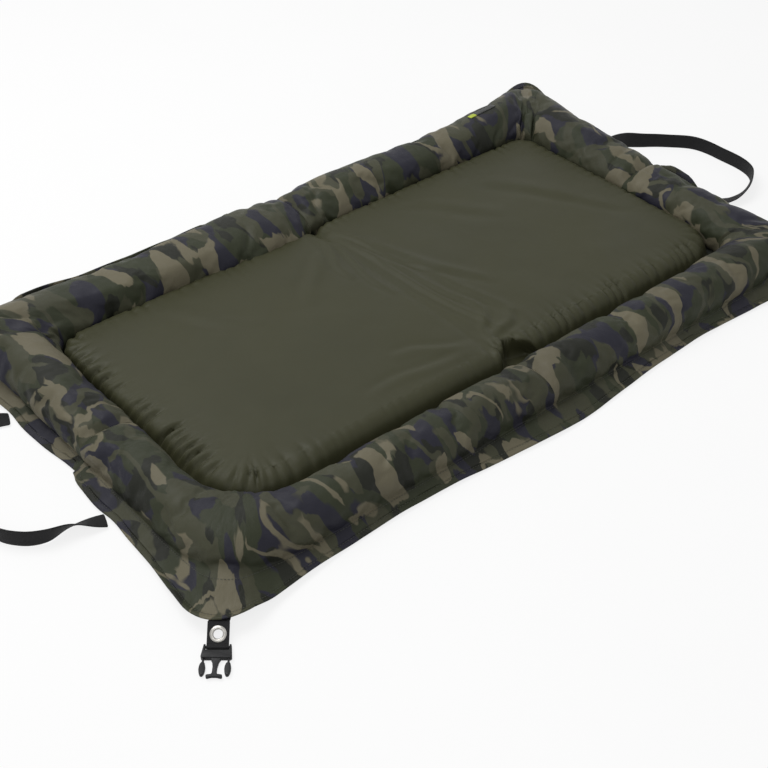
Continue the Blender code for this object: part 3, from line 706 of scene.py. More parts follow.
def flangeSpan(station, signs):
    # where the flange starts, which way it runs, how wide it is, how far it curls up,
    # and how high it starts and how much of that height its edge keeps
    inner = planPoint(station, plan["stitchOutset"])
    out = planPoint(station, plan["hemOutset"]) - inner
    fromFold, fromSide, fromCorner = seamDistances(station)
    width = out.length
    out = out / width
    x, y = inner.x * signs[0], inner.y * signs[1]
    rise = plan["hemRise"] + plan["cornerRise"] * bell(fromCorner, plan["cornerReach"])
    curl = 2 * rise / width
    broad, fine = flange["broadWave"], flange["fineWave"]
    waves = grain(x * broad, y * broad, 3.3) + flange["fineShare"] * grain(x * fine, y * fine, 8.1)
    curl += flange["wave"] * waves
    hold = 0
    width += flange["cornerWiden"] * bell(fromCorner, flange["cornerWidenReach"])
    if signs[1] < 0:
        step = flange["frontStep"][signs[0]]
        width += step * bell(fromSide, flange["stepReach"])
        width -= flange["stepCut"] * step * bell(fromSide, flange["stepCutReach"])
    if station[0] == "short":
        near = sum(bell(y - root, flange["handleReach"]) for root in flange["handleRoots"])
        width -= flange["handleRoom"] * near
    if signs[1] > 0 and station[0] == "long":
        drop = flange["foldDrop"] * bell(fromFold, flange["curlDropReach"])
        raised = ease(fromCorner, *flange["curlFromCorner"]) * (1 - drop)
        for place, angle, reach in flange["backHumps"]:
            curl += raised * angle * bell(x - place, reach)
        curl += flange["backCurl"] * raised
        hold = raised
    if signs == (1, 1):
        stand = flange["stand"]
        hold = max(hold, stand["hold"] * bell(fromCorner, stand["reach"]))
        curl += stand["curl"] * bell(fromCorner, stand["reach"])
        width += stand["width"] * bell(fromCorner, stand["widthReach"])
    if signs == (1, -1) and station[0] == "short":
        curl += flange["curl"] * ease(y, flange["curlFrom"], flange["curlTo"])
    hold = max(hold, min(1, max(0, flange["holdGain"] * (curl - flange["holdFrom"]))))
    return {
        "inner": inner,
        "out": out,
        "width": width,
        "curl": max(curl, flange["leastCurl"]),
        "rise": seamRise(station, signs),
        "hold": hold,
    }


def flangePoint(span, signs, distance, lift):
    turn = span["curl"] * distance / span["width"]
    radius = span["width"] / span["curl"]
    spot = span["inner"] + span["out"] * ((radius - lift) * math.sin(turn))
    height = flange["base"] + radius - (radius - lift) * math.cos(turn)
    start, share = flange["fall"]
    fall = (1 - span["hold"]) * ease(distance, start, span["width"] * share)
    return Vector((signs[0] * spot.x, signs[1] * spot.y, height + span["rise"] * (1 - fall)))


# bolsters: the stuffed camouflage cover, one length for each quarter

bolster = {
    "width": 0.092,
    "outside": {-1: 0.0780, 1: 0.092},  # its outer side before it is filled, front and back
    "evenReach": 0.03,  # where front and back meet at the side seams
    "slope": 0.009,  # how much flatter the front corners fall towards their seam
    "slopeReach": 0.06,
    "seamRoom": 0.009,  # the cover is widest at least this far above its seam
    "height": 0.068,
    "bulge": 0.030,
    "innerTuck": 0.008,
    "coverFoot": 0.0018,
    "cornerSwell": {(-1, -1): 0.006, (1, -1): 0.006, (-1, 1): 0.010, (1, 1): 0.011},
    "cornerReach": 0.10,
    "foldDip": 0.010,
    "sideDip": 0.011,
    "seamReach": 0.010,
    "rough": 0.0007,
    "roughScale": 60,
    "rowStep": 0.0054,
    "cornerSteps": 16,
    "columns": 34,
    "start": 0.86,  # the share of its height that the cover has before it is filled
    "spare": 0.036,  # how much cloth there is to spare
    "pressure": 8,
    "frames": 40,
    "cap": 0.010,  # no point moves further than this
    "cloth": {
        "quality": 6,
        "mass": 0.3,
        "tension_stiffness": 40,
        "compression_stiffness": 40,
        "shear_stiffness": 5,
        "bending_stiffness": 0.02,
        "air_damping": 1,
    },
    # each dart is sewn down: its row from the corner, how many columns it reaches, its depth
    "darts": {
        "front_left": ((-6, 9, 0.004), (4, 12, 0.008), (12, 12, 0.009), (22, 8, 0.004)),
        "front_right": ((-8, 9, 0.004), (3, 15, 0.014), (11, 16, 0.015), (19, 9, 0.005)),
        "back_left": ((-7, 9, 0.004), (4, 17, 0.018), (11, 17, 0.017), (19, 8, 0.004)),
        "back_right": ((-9, 10, 0.005), (6, 23, 0.024), (13, 21, 0.022), (20, 8, 0.004)),
    },
    # the tucks are at a share of the run from the fold to the side seam
    "tucks": (
        (0.02, 12, 0.003), (0.18, 6, 0.003), (0.42, 6, 0.003),
        (0.84, 7, 0.004), (0.945, 18, 0.005), (0.972, 12, 0.003),
    ),
    "dartFade": 3,  # a dart or tuck deepens over this many columns
    # how far each length swells over the bed at its corner
    "innerSwell": {(-1, -1): 0.026, (1, -1): 0.004, (-1, 1): 0.004, (1, 1): 0.002},
    "innerReach": 0.060,
    "innerPower": 1.5,
    "bedGap": 0.0006,
    "overBed": 0.95,  # the share of its swell that stays over the bed once it is filled
    # the back left length leans over the bed: how far from the fold, how much, how far along
    "lean": {"corner": (-1, 1), "middle": 0.10, "amount": 0.020, "reach": 0.17, "fade": 0.035},
    "flangeShares": (0.04, 0.10, 0.22, 0.40, 0.60, 0.80, 0.93, 1.0),
    "puffEnd": 1.1,
    "puffPower": 0.8,
    "pucker": 0.0014,  # the flange puckers beside the seam
    "puckerScale": 95,
    "puckerFrom": 0.004,
    "puckerReach": 0.014,
    "printShare": 0.86,  # outward the print is this share of the cloth's own length
}


def ellipse(centre, radii, first, last, steps):
    angles = [math.radians(first + (last - first) * step / steps) for step in range(steps + 1)]
    return [
        (centre[0] + radii[0] * math.cos(angle), centre[1] + radii[1] * math.sin(angle))
        for angle in angles
    ]


def bolsterSection(station, fullness, signs=(1, -1)):
    # even points over the arch from the inner foot to the outer one, and the arch's length
    fromFold, fromSide, fromCorner = seamDistances(station)
    dip = bolster["foldDip"] * bell(fromFold, bolster["seamReach"])
    dip += bolster["sideDip"] * bell(fromSide, bolster["seamReach"])
    bulge = bolster["bulge"]
    half = bolster["width"] / 2
    swell = bolster["cornerSwell"][signs] * bell(fromCorner, bolster["cornerReach"])
    crown = bolster["height"] + swell
    crown *= fullness
    crown -= dip
    tuck = bolster["innerTuck"]
    outer = bolster["outside"][signs[1]]
    outer += (sum(bolster["outside"].values()) / 2 - outer) * bell(fromSide, bolster["evenReach"])
    if signs[1] < 0:
        outer -= bolster["slope"] * bell(fromCorner, bolster["slopeReach"])
    seam = plan["stitchOutset"]
    foot = flange["base"] + flange["lift"] + seamRise(station, signs)
    widest = max(bulge, foot + bolster["seamRoom"])
    outline = ellipse((tuck, bulge), (tuck, bulge - bolster["coverFoot"]), 270, 180, 12)
    outline += ellipse((half, bulge), (half, crown - bulge), 180, 90, 24)[1:]
    outline += ellipse((half, widest), (outer - half, crown - widest), 90, 0, 24)[1:]
    outline += ellipse((seam, widest), (outer - seam, widest - foot), 0, -90, 12)[1:]
    outline = np.array(outline)
    runs = np.concatenate([[0], np.cumsum(np.linalg.norm(np.diff(outline, axis=0), axis=1))])
    places = np.linspace(0, runs[-1], bolster["columns"])
    section = np.stack([np.interp(places, runs, outline[:, axis]) for axis in (0, 1)], axis=1)
    return section, runs[-1]


def bolsterStart(name, signs, stations):
    # the cover before it is filled, and the points where it is sewn down
    columns = bolster["columns"]
    lean = bolster["lean"]
    seed = 5.3 * signs[0] + 2.7 * signs[1]
    points = []
    for station in stations:
        section = bolsterSection(station, bolster["start"], signs)[0]
        fromFold, _, fromCorner = seamDistances(station)
        swell = bolster["innerSwell"][signs] * bell(fromCorner, bolster["innerReach"])
        if signs == lean["corner"] and station[0] == "long":
            leaning = lean["amount"] * bell(fromFold - lean["middle"], lean["reach"])
            swell = max(swell, leaning * ease(fromFold, 0, lean["fade"]))
        for column, (outset, height) in enumerate(section):
            inward = swell * max(0, 1 - outset / bolster["width"]) ** bolster["innerPower"]
            spot = planPoint(station, outset - inward)
            grainX, grainY = spot.x * bolster["roughScale"], spot.y * bolster["roughScale"]
            rough = bolster["rough"] * grain(grainX + seed, grainY - seed, column * 0.7)
            points.append([signs[0] * spot.x, signs[1] * spot.y, height + rough])
    last = len(stations) - 1
    sewn = {
        row * columns + column
        for row in range(len(stations))
        for column in range(columns)
        if column in (0, columns - 1) or row in (0, last)
    }
    corner = stations.index(("corner", 1 / bolster["cornerSteps"]))
    darts = [(corner + place, reach, depth) for place, reach, depth in bolster["darts"][name]]
    darts += [(round(place * last), reach, depth) for place, reach, depth in bolster["tucks"]]
    for row, reach, depth in darts:
        for column in range(1, reach):
            index = row * columns + column
            fade = min(1, column / bolster["dartFade"])
            points[index][2] -= depth * fade * math.sin((reach - column) / reach * math.pi / 2)
            sewn.add(index)
    return points, sorted(sewn)


def fillWithPressure(pieces, sewn, settings):
    # each cover swells against its seams; then the cloth is left as a plain mesh
    for piece in pieces:
        group = piece.vertex_groups.new(name="sewn")
        group.add(sewn[piece.name], 1, "REPLACE")
        modifier = piece.modifiers.new("swell", "CLOTH")
        cloth = modifier.settings
        for key, value in settings["cloth"].items():
            setattr(cloth, key, value)
        cloth.vertex_group_mass = "sewn"
        cloth.shrink_min = -settings["spare"]
        cloth.use_pressure = True
        cloth.uniform_pressure_force = settings["pressure"]
        cloth.effector_weights.gravity = 0
        modifier.collision_settings.use_collision = False
        modifier.point_cache.frame_start = 1
        modifier.point_cache.frame_end = settings["frames"] + 5
    scene.frame_start = 1
    scene.frame_end = settings["frames"] + 5
    for number in range(1, settings["frames"] + 1):
        scene.frame_set(number)
    graph = bpy.context.evaluated_depsgraph_get()
    swollen = {}
    for piece in pieces:
        found = piece.evaluated_get(graph).data.vertices
        swollen[piece.name] = np.array([vertex.co for vertex in found])
    for piece in pieces:
        start = np.array([vertex.co for vertex in piece.data.vertices])
        move = swollen[piece.name] - start
        size = np.linalg.norm(move, axis=1, keepdims=True)
        move *= np.minimum(1, settings["cap"] / np.maximum(size, 1e-9))
        piece.data.vertices.foreach_set("co", (start + move).ravel())
        piece.modifiers.clear()
    scene.frame_set(1)


def keepOffBed(points, gap):
    # pushes what hangs over the bed back outside its outline
    radius = plan["bedCorner"]
    halfLength = plan["bedLength"] / 2 - radius
    halfWidth = plan["bedWidth"] / 2 - radius
    x, y = np.abs(points[:, 0]), np.abs(points[:, 1])
    cornerX, cornerY = np.maximum(x - halfLength, 0), np.maximum(y - halfWidth, 0)
    inside = np.minimum(np.maximum(x - halfLength, y - halfWidth), 0)
    distance = np.hypot(cornerX, cornerY) + inside - radius
    short = np.maximum(gap - distance, 0)
    lengths = np.maximum(np.hypot(cornerX, cornerY), 1e-9)
    within = (cornerX == 0) & (cornerY == 0)
    wayX = np.where(within, x - halfLength > y - halfWidth, cornerX / lengths)
    wayY = np.where(within, x - halfLength <= y - halfWidth, cornerY / lengths)
    points[:, 0] += np.sign(points[:, 0]) * wayX * short
    points[:, 1] += np.sign(points[:, 1]) * wayY * short
    return points


def makeBolsters():
    stations = quarterStations(bolster["rowStep"], bolster["cornerSteps"])
    columns = bolster["columns"]
    covers, sewn = {}, {}
    for corner, signs in quarters.items():
        points, sewn["bolster_" + corner] = bolsterStart(corner, signs, stations)
        flip = signs[0] * signs[1] > 0
        faces = gridFaces(len(stations), columns, flip=flip)
        covers[corner] = newPiece("bolster_" + corner, points, faces, finishes["camo"])
    fillWithPressure(list(covers.values()), sewn, bolster)
    pieces = {}
    for corner, signs in quarters.items():
        arch = np.array([vertex.co for vertex in covers[corner].data.vertices])
        over = bolster["innerSwell"][signs]
        if signs == bolster["lean"]["corner"]:
            over = max(over, bolster["lean"]["amount"])
        arch = keepOffBed(arch, bolster["bedGap"] - over * bolster["overBed"])
        arch[:, 2] = np.maximum(arch[:, 2], bolster["coverFoot"])
        for axis in (0, 1):
            # no cover reaches over its seams into the next quarter
            arch[:, axis] = signs[axis] * np.maximum(arch[:, axis] * signs[axis], 0)
        bpy.data.objects.remove(covers[corner], do_unlink=True)
        arch = arch.reshape(len(stations), columns, 3)
        pieces[corner] = finishBolster(corner, signs, stations, arch)
    return pieces


def printPlace(signs, flat):
    # each length of cloth is cut from its own place in the print
    cutX, cutY = camo["cut"]
    return signs[0] * (flat.x + cutX), signs[1] * (flat.y + cutY) + camo["sideCut"] * signs[0]


def finishBolster(corner, signs, stations, arch):
    # adds the flange to the arch, gives it its print and its puckers, and smooths it
    points, cloth = [], []
    for row, station in enumerate(stations):
        span = flangeSpan(station, signs)
        inner, out, width = span["inner"], span["out"], span["width"]
        length = bolsterSection(station, 1)[1]
        start = planPoint(station, 0)
        flat = [length * column / (bolster["columns"] - 1) for column in range(bolster["columns"])]
        spots = [Vector(point) for point in arch[row]]
        for share in bolster["flangeShares"]:
            flat.append(length + share * width)
            puff = math.sin(math.pi * min(1, share * bolster["puffEnd"])) ** bolster["puffPower"]
            lift = flange["lift"] + flange["puff"] * puff
            spots.append(flangePoint(span, signs, share * (width - flange["edgeInset"]), lift))
        scale = bolster["puckerScale"]
        along = grain(inner.x * scale * signs[0], inner.y * scale * signs[1], 1.7)
        for number, spot in enumerate(spots):
            if number > bolster["columns"]:
                away = flat[number] - length - bolster["puckerFrom"]
                spot.z += bolster["pucker"] * along * bell(away, bolster["puckerReach"])
            points.append(spot)
            cloth.append(printPlace(signs, start + out * flat[number] * bolster["printShare"]))
    total = bolster["columns"] + len(bolster["flangeShares"])
    faces = gridFaces(len(stations), total, flip=signs[0] * signs[1] > 0)
    piece = newPiece("bolster_" + corner, points, faces, finishes["camo"], cloth)
    smoothOnce(piece)
    overFold(piece)
    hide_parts("bolster_cover_" + corner)
    return piece


bolsters = makeBolsters()
print("bolsters filled and finished")


# wadding inside each bolster

wadding = {
    "fullness": 0.82,
    "shrink": 0.013 / 0.03,  # how far it is drawn in towards the bolster's middle
    "seamGap": 0.012,
    "rowSkip": 4,
    "columnSkip": 3,
}


def makeWadding(corner, signs):
    stations = quarterStations(bolster["rowStep"], bolster["cornerSteps"])[:: wadding["rowSkip"]]
    points = []
    for number, station in enumerate(stations):
        section = bolsterSection(station, wadding["fullness"])[0][:: wadding["columnSkip"]]
        middle = np.array((bolster["width"] / 2, bolster["bulge"]))
        for outset, height in middle + (section - middle) * (1 - wadding["shrink"]):
            spot = planPoint(station, outset)
            x = spot.x if number else max(spot.x, wadding["seamGap"])
            y = max(spot.y, wadding["seamGap"])
            points.append((signs[0] * max(x, 0), signs[1] * y, height))
    faces = tubeFaces(len(stations), len(points) // len(stations))
    piece = newPiece("wadding_" + corner, points, faces, finishes["wadding"])
    facePiece(piece, closed=True)
    overFold(piece)
    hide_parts("bolster_filling_" + corner)


for corner, signs in quarters.items():
    makeWadding(corner, signs)
print("wadding made")


# bed: the olive cover, gathered round its edge and creased over the fold

bed = {
    # how far the flat top lies inside the outline on each side; the left one is less at the back
    "front": 0.046,
    "left": 0.036,
    "leftBack": 0.022,
    "tight": 0.014,
    "corner": 0.024,
    "frontCorners": {-1: 0.056, 1: 0.042},  # the front corners are rounder
    "top": 0.0356,
    "crown": 0.0010,
    "crownReach": 0.05,
    "lump": 0.0018,
    "lumpScale": 8,
    "dimple": 0.0006,
    "dimpleScale": 24,
    "leastHeight": 0.002,
    "step": 0.0031,
    "leftSide": (-0.12, 0.15),  # from and to where the left side changes from open to tight
    "leftTight": 0.75,
    "leftEnd": (0.25, 0.42),
    # the rounded edge from the top to the foot, outward and height: first where the bolster
    # leaves it room and then where it lies close against it
    "openEdge": (
        (0.0035, 0.0354), (0.0075, 0.0346), (0.0115, 0.0332), (0.0155, 0.0311), (0.0190, 0.0283),
        (0.0220, 0.0246), (0.0245, 0.0200), (0.0268, 0.0148), (0.0300, 0.0090), (0.0350, 0.0040),
    ),
    "tightEdge": (
        (0.0030, 0.0354), (0.0060, 0.0348), (0.0090, 0.0334), (0.0114, 0.0309), (0.0130, 0.0274),
        (0.0136, 0.0225), (0.0134, 0.0170), (0.0122, 0.0110), (0.0102, 0.0055), (0.0090, 0.0022),
    ),
    "gather": 0.0050,
    "gatherPitch": 0.0165,
    "gatherWander": 1.1,
    "gatherPower": 0.55,
    "gatherOwn": (0.15, 2.8),  # the least share of a gather's depth, and how much it varies
    "gatherOpen": (0.35, 0.65),  # its share on the tight sides, and what the open ones add
    "gatherSlant": 0.0006,
    "gatherIn": 0.7,
    "gatherDown": 0.5,
    "gatherTop": 0.06,  # how far in from the rim the top is gathered
    "topShare": 0.8,
    "topReach": 0.009,
    "topWide": (0.25, 0.026),
    # the front edge is almost smooth left of the fold, and the left side is drawn in hard
    "smooth": {"left": (-0.37, -0.29), "right": (-0.03, 0), "in": (0.10, 0.14), "share": 0.85},
    "hard": {"left": (0.36, 0.40), "back": (-0.16, -0.10), "share": 1.3},
    "slack": 0.028,  # the cloth that the gathers take up on its way down
    # the notch at the front end of the fold: where it starts, its way in, its length, width
    # and depth, the lip beside its left edge and how far its floor goes under the right one
    "notch": {
        "x": -0.003,
        "y": -0.214,
        "way": (0.63, 0.777),
        "length": 0.053,
        "slant": 0.10,
        "width": 0.060,
        "depth": 0.034,
        "before": 0.03,
        "leftEdge": (-0.0008, 0.0024),
        "rightEdge": 0.75,
        "inEdge": 0.89,
        "lip": 0.005,
        "lipAway": 0.007,
        "undercut": 0.020,
        "underFrom": (0.006, 0.020),
    },
    "crease": 0.0016,
    "creaseReach": 0.007,
    "creaseWide": (0.8, 0.03),
    # both ends of the fold are pinched: how far in, how far down, and over what width and length
    "pinch": {"in": 0.010, "down": 0.007, "width": 0.012, "length": 0.035},
    "pullWander": 0.010,
    "pullGain": 1.5,
    "pullPower": 0.6,
    "pullTrough": 0.6,  # the dip beside a pull: its share, and how far off and how wide it is
    "pullTroughAway": 1.5,
    "pullTroughWidth": 0.8,
    # each pull runs from one point to another: start x, y, end x, y, height, width
    "pulls": (
        (0.004, 0.205, 0.045, -0.175, 0.0018, 0.006), (0.010, 0.200, 0.120, -0.070, 0.0014, 0.009),
        (0.006, 0.206, 0.075, -0.010, 0.0016, 0.006), (0.020, 0.120, 0.060, -0.120, 0.0014, 0.006),
        (0.050, 0.060, 0.095, -0.150, 0.0012, 0.008), (-0.008, 0.205, -0.040, 0.070, 0.0018, 0.007),
        (-0.004, 0.200, -0.016, 0.000, 0.0016, 0.006), (-0.030, 0.160, -0.130, 0.060, 0.0012, 0.012),
        (-0.010, -0.160, -0.120, -0.110, 0.0014, 0.010), (0.012, -0.170, 0.090, -0.130, 0.0018, 0.008),
        (0.014, -0.165, 0.060, -0.080, 0.0016, 0.008), (-0.016, -0.170, -0.200, -0.155, 0.0012, 0.009),
        (0.150, 0.200, 0.260, 0.060, 0.0010, 0.014), (0.290, 0.170, 0.390, 0.020, 0.0010, 0.016),
        (-0.300, 0.190, -0.210, 0.060, 0.0010, 0.014), (0.330, 0.100, 0.420, -0.060, 0.0010, 0.012),
    ),
}


def roundedGrid(halfLength, halfWidth, radius, step, cornerSteps):
    # rows of points that fill a rounded rectangle
    angles = [math.pi / 2 * number / cornerSteps for number in range(cornerSteps + 1)]
    upper = [halfWidth - radius + radius * math.sin(angle) for angle in angles]
    straight = halfWidth - radius
    count = max(2, round(2 * straight / step))
    rows = [-y for y in reversed(upper)]
    rows += [-straight + 2 * straight * number / count for number in range(1, count)]
    rows += upper
    across = round(2 * halfLength / step)
    grid = []
    for y in rows:
        over = max(0, abs(y) - straight)
        reach = halfLength - radius + math.sqrt(max(0, radius * radius - over * over))
        grid.append([(reach * (2 * number / across - 1), y) for number in range(across + 1)])
    return grid


def ringOf(rows, columns):
    # the indices round the rim of a grid
    ring = [column for column in range(columns)]
    ring += [row * columns + columns - 1 for row in range(1, rows)]
    ring += [(rows - 1) * columns + column for column in range(columns - 2, -1, -1)]
    return ring + [row * columns for row in range(rows - 2, 0, -1)]


def pullHeight(x, y):
    height = 0
    for startX, startY, endX, endY, tall, wide in bed["pulls"]:
        alongX, alongY = endX - startX, endY - startY
        length = math.hypot(alongX, alongY)
        share = ((x - startX) * alongX + (y - startY) * alongY) / length**2
        if -0.05 < share < 1.05:
            off = ((x - startX) * alongY - (y - startY) * alongX) / length
            off += bed["pullWander"] * grain(share * 2.2, startX * 31)
            swell = math.sin(math.pi * min(1, max(0, share))) ** bed["pullPower"]
            away = off - bed["pullTroughAway"] * wide
            trough = bed["pullTrough"] * bell(away, bed["pullTroughWidth"] * wide)
            height += bed["pullGain"] * tall * swell * (bell(off, wide) - trough)
    return height


def gatherShare(spot):
    smooth, hard = bed["smooth"], bed["hard"]
    front = ease(spot.x, *smooth["left"]) * (1 - ease(spot.x, *smooth["right"]))
    front *= ease(-spot.y, *smooth["in"])
    left = ease(-spot.x, *hard["left"]) * ease(spot.y, *hard["back"])
    return 1 - smooth["share"] * front + hard["share"] * left


def gatherAt(run, openness):
    # how deep the gathers are here: sharp valleys between puffs, each of its own depth
    least, varied = bed["gatherOwn"]
    tight, more = bed["gatherOpen"]
    phase = run / bed["gatherPitch"] + bed["gatherWander"] * grain(run * 16, 0.7)
    valley = 1 - abs(math.sin(math.pi * phase)) ** bed["gatherPower"]
    own = least + varied * abs(grain(round(phase) * 0.83, 4.4))
    return bed["gather"] * (tight + more * openness) * own * valley


def notchDepth(x, y):
    # the hollow less the lip beside it, and the share of the undercut
    notch = bed["notch"]
    awayX, awayY = x - notch["x"], y - notch["y"]
    wayX, wayY = notch["way"]
    along = awayX * wayX + awayY * wayY
    beside = awayX * wayY - awayY * wayX
    if not -notch["before"] < along < notch["length"]:
        return 0, 0
    length = notch["length"] - notch["slant"] * max(0, beside)
    right = 1 - ease(beside, notch["rightEdge"] * notch["width"], notch["width"])
    deep = ease(beside, *notch["leftEdge"]) * right
    fade = 1 - ease(along, notch["inEdge"] * length, length)
    lip = bell(beside + notch["lipAway"], notch["lipAway"]) * ease(along, 0, 0.02)
    hollow = (notch["depth"] * deep - notch["lip"] * lip) * fade
    return hollow, deep * fade * ease(beside, *notch["underFrom"])


def drawnCorner(x, y, halfLength, halfWidth, radius):
    # draws a front corner of the bed in from the grid's radius to its own larger one
    side = -1 if x < 0 else 1
    large = bed["frontCorners"][side]
    pivotX, pivotY = side * (halfLength - large), large - halfWidth
    awayX, awayY = (x - pivotX) * side, pivotY - y
    if awayX <= 0 or awayY <= 0:
        return Vector((x, y))
    length = math.hypot(awayX, awayY)
    wayX, wayY = awayX / length, awayY / length
    edge = large / max(wayX, wayY)
    inner = large - radius
    middle = (wayX + wayY) * inner
    arc = middle + math.sqrt(max(0, middle * middle - 2 * inner * inner + radius * radius))
    edge = arc if min(wayX, wayY) * edge > inner else edge
    return Vector((pivotX + side * awayX * large / edge, pivotY - awayY * large / edge))


def makeBed():
    left, front, tight, radius = bed["left"], bed["front"], bed["tight"], bed["corner"]
    shiftX, shiftY = (left - tight) / 2, (front - tight) / 2
    halfLength = plan["bedLength"] / 2 - (left + tight) / 2
    halfWidth = plan["bedWidth"] / 2 - (front + tight) / 2
    grid = roundedGrid(halfLength, halfWidth, radius, bed["step"], 10)
    rows, columns = len(grid), len(grid[0])
    flat = [drawnCorner(x, y, halfLength, halfWidth, radius) for row in grid for x, y in row]
    ring = ringOf(rows, columns)
    runs = [0]
    for before, after in zip(ring, ring[1:]):
        runs.append(runs[-1] + (flat[after] - flat[before]).length)
    ways, opens, shares = [], [], []
    for index in ring:
        spot = flat[index]
        side = -1 if spot.x < 0 else 1
        large = bed["frontCorners"][side]
        away = Vector((spot.x - side * (halfLength - large), spot.y - large + halfWidth))
        if away.x * side > 0 and away.y < 0:
            way = away.normalized()
        else:
            way = Vector((
                spot.x - max(-halfLength + radius, min(halfLength - radius, spot.x)),
                spot.y - max(-halfWidth + radius, min(halfWidth - radius, spot.y)),
            )).normalized()
        ways.append(way)
        leftShare = 1 - bed["leftTight"] * ease(spot.y, *bed["leftSide"])
        share = max(0, -way.y) + max(0, -way.x) * leftShare
        opens.append(min(1, share))
        shares.append(gatherShare(spot))
    rimSpots = np.array([flat[index] for index in ring])
    points, cloth = [], []
    for spot in flat:
        inward = min(halfLength - abs(spot.x), halfWidth - abs(spot.y))
        x, y = spot.x + shiftX, spot.y + shiftY
        further = ease(spot.y, *bed["leftSide"]) * ease(-spot.x, *bed["leftEnd"])
        x -= (left - bed["leftBack"]) * further
        height = bed["top"] + bed["crown"] * (1 - bell(inward, bed["crownReach"]))
        lumps, dimples = bed["lumpScale"], bed["dimpleScale"]
        lump = bed["lump"] * grain(x * lumps, y * lumps, 2.2)
        height += lump + bed["dimple"] * grain(x * dimples, y * dimples, 5.1)
        wideShare, wideReach = bed["creaseWide"]
        height -= bed["crease"] * (bell(x, bed["creaseReach"]) + wideShare * bell(x, wideReach))
        height += pullHeight(x, y)
        if inward < bed["gatherTop"]:
            # the gathers run in a little way over the top
            gaps = np.hypot(rimSpots[:, 0] - spot.x, rimSpots[:, 1] - spot.y)
            place = int(np.argmin(gaps))
            gap = float(gaps[place])
            deep = gatherAt(runs[place], opens[place]) * shares[place]
            wideShare, wideReach = bed["topWide"]
            near = bell(gap, bed["topReach"]) + wideShare * bell(gap, wideReach)
            height -= bed["topShare"] * deep * near
        points.append(Vector((x, y, height)))
        cloth.append((x, y))
    faces = gridFaces(rows, columns)
    previous = ring
    count = len(bed["openEdge"])
    for number in range(count):
        current = []
        # the gathers are deepest just under the edge
        amount = math.sin(math.pi * min(1, (number + 3) / (count + 1)))
        for place, index in enumerate(ring):
            share = opens[place]
            out, height = (
                share * wide + (1 - share) * near
                for wide, near in zip(bed["openEdge"][number], bed["tightEdge"][number])
            )
            deep = gatherAt(runs[place] + bed["gatherSlant"] * number, share)
            deep = deep * amount * shares[place]
            spot = points[index]
            sink = (spot.z - bed["top"]) * (1 - (number + 1) / count)
            moved = spot.xy + ways[place] * (out - bed["gatherIn"] * deep)
            current.append(len(points))
            low = max(bed["leastHeight"], height + sink - deep * bed["gatherDown"])
            points.append(Vector((moved.x, moved.y, low)))
            length = out + bed["slack"] * number / (count - 1)
            cloth.append((spot.x + ways[place].x * length, spot.y + ways[place].y * length))
        faces += bandFaces(previous, current)
        previous = current
    pinch, notch = bed["pinch"], bed["notch"]
    for spot in points:
        back = bell(spot.x, pinch["width"]) * bell(spot.y - plan["bedWidth"] / 2, pinch["length"])
        tall = min(1, spot.z / bed["top"])
        spot.y -= pinch["in"] * back * tall
        hollow, under = notchDepth(spot.x, spot.y)
        down = (hollow + pinch["down"] * back) * tall**0.5
        spot.z = max(bed["leastHeight"], spot.z - down)
        spot.x += notch["undercut"] * under
    piece = newPiece("bed_cover", points, faces, finishes["panel"], cloth)
    facePiece(piece)
    overFold(piece)
    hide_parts("panel_cover_left", "panel_cover_right")


makeBed()
print("bed cover made")


# foam pads under the bed cover

foam = {
    "gap": 0.012,
    "open": 0.060,
    "tight": 0.022,
    "corner": 0.024,
    "step": 0.02,
    "top": 0.0285,
    "bottom": 0.0026,
    "round": 0.007,
    "rough": 0.0003,
    "roughScale": 40,
}


def makeFoam(half, side):
    near, far = foam["gap"], plan["bedLength"] / 2 - (foam["open"] if side < 0 else foam["tight"])
    halfLength = (far - near) / 2
    halfWidth = (plan["bedWidth"] - foam["open"] - foam["tight"]) / 2
    middleY = (foam["open"] - foam["tight"]) / 2
    grid = roundedGrid(halfLength, halfWidth, foam["corner"], foam["step"], 5)
    rows, columns = len(grid), len(grid[0])
    middle = side * (near + far) / 2
    turn = foam["round"]
    levels = (
        (0, foam["bottom"]),
        (0, foam["top"] - turn),
        (0.3 * turn, foam["top"] - 0.3 * turn),
        (turn, foam["top"]),
    )
    ring = ringOf(rows, columns)
    flat = [Vector((middle + x, middleY + y, foam["bottom"])) for row in grid for x, y in row]
    points = list(flat)
    faces = gridFaces(rows, columns)
    previous = ring
    for inset, height in levels[1:]:
        current = []
        for index in ring:
            spot = flat[index]
            way = Vector((spot.x - middle, spot.y - middleY)) / max(halfLength, halfWidth)
            current.append(len(points))
            points.append(Vector((spot.x - way.x * inset, spot.y - way.y * inset, height)))
        faces += bandFaces(previous, current, flip=True)
        previous = current
    lookup = dict(zip(ring, previous))
    for index, spot in enumerate(flat):
        if index not in lookup:
            lookup[index] = len(points)
            rough = grain(spot.x * foam["roughScale"], spot.y * foam["roughScale"])
            height = foam["top"] + foam["rough"] * rough
            points.append(Vector((spot.x, spot.y, height)))
    faces += [tuple(lookup[index] for index in face) for face in gridFaces(rows, columns)]
    piece = newPiece("foam_" + half, points, faces, finishes["foam"])
    facePiece(piece, closed=True)
    overFold(piece)
    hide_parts("foam_pad_" + half)


makeFoam("left", -1)
makeFoam("right", 1)
print("foam pads made")


# ground sheet, in one length under the whole mat

sheet = {
    "step": 0.011,
    "cornerSteps": 8,
    "height": 0.0012,
    "flatOutset": 0.050,  # it lies flat this far out, then rises to the seam
    "rises": (0.25, 0.5, 0.75),
    "shares": (0.0, 0.25, 0.5, 0.75, 0.93, 1.0),
    "turnedHem": 0.05,  # what the two turned hems add to the flat length and width
}


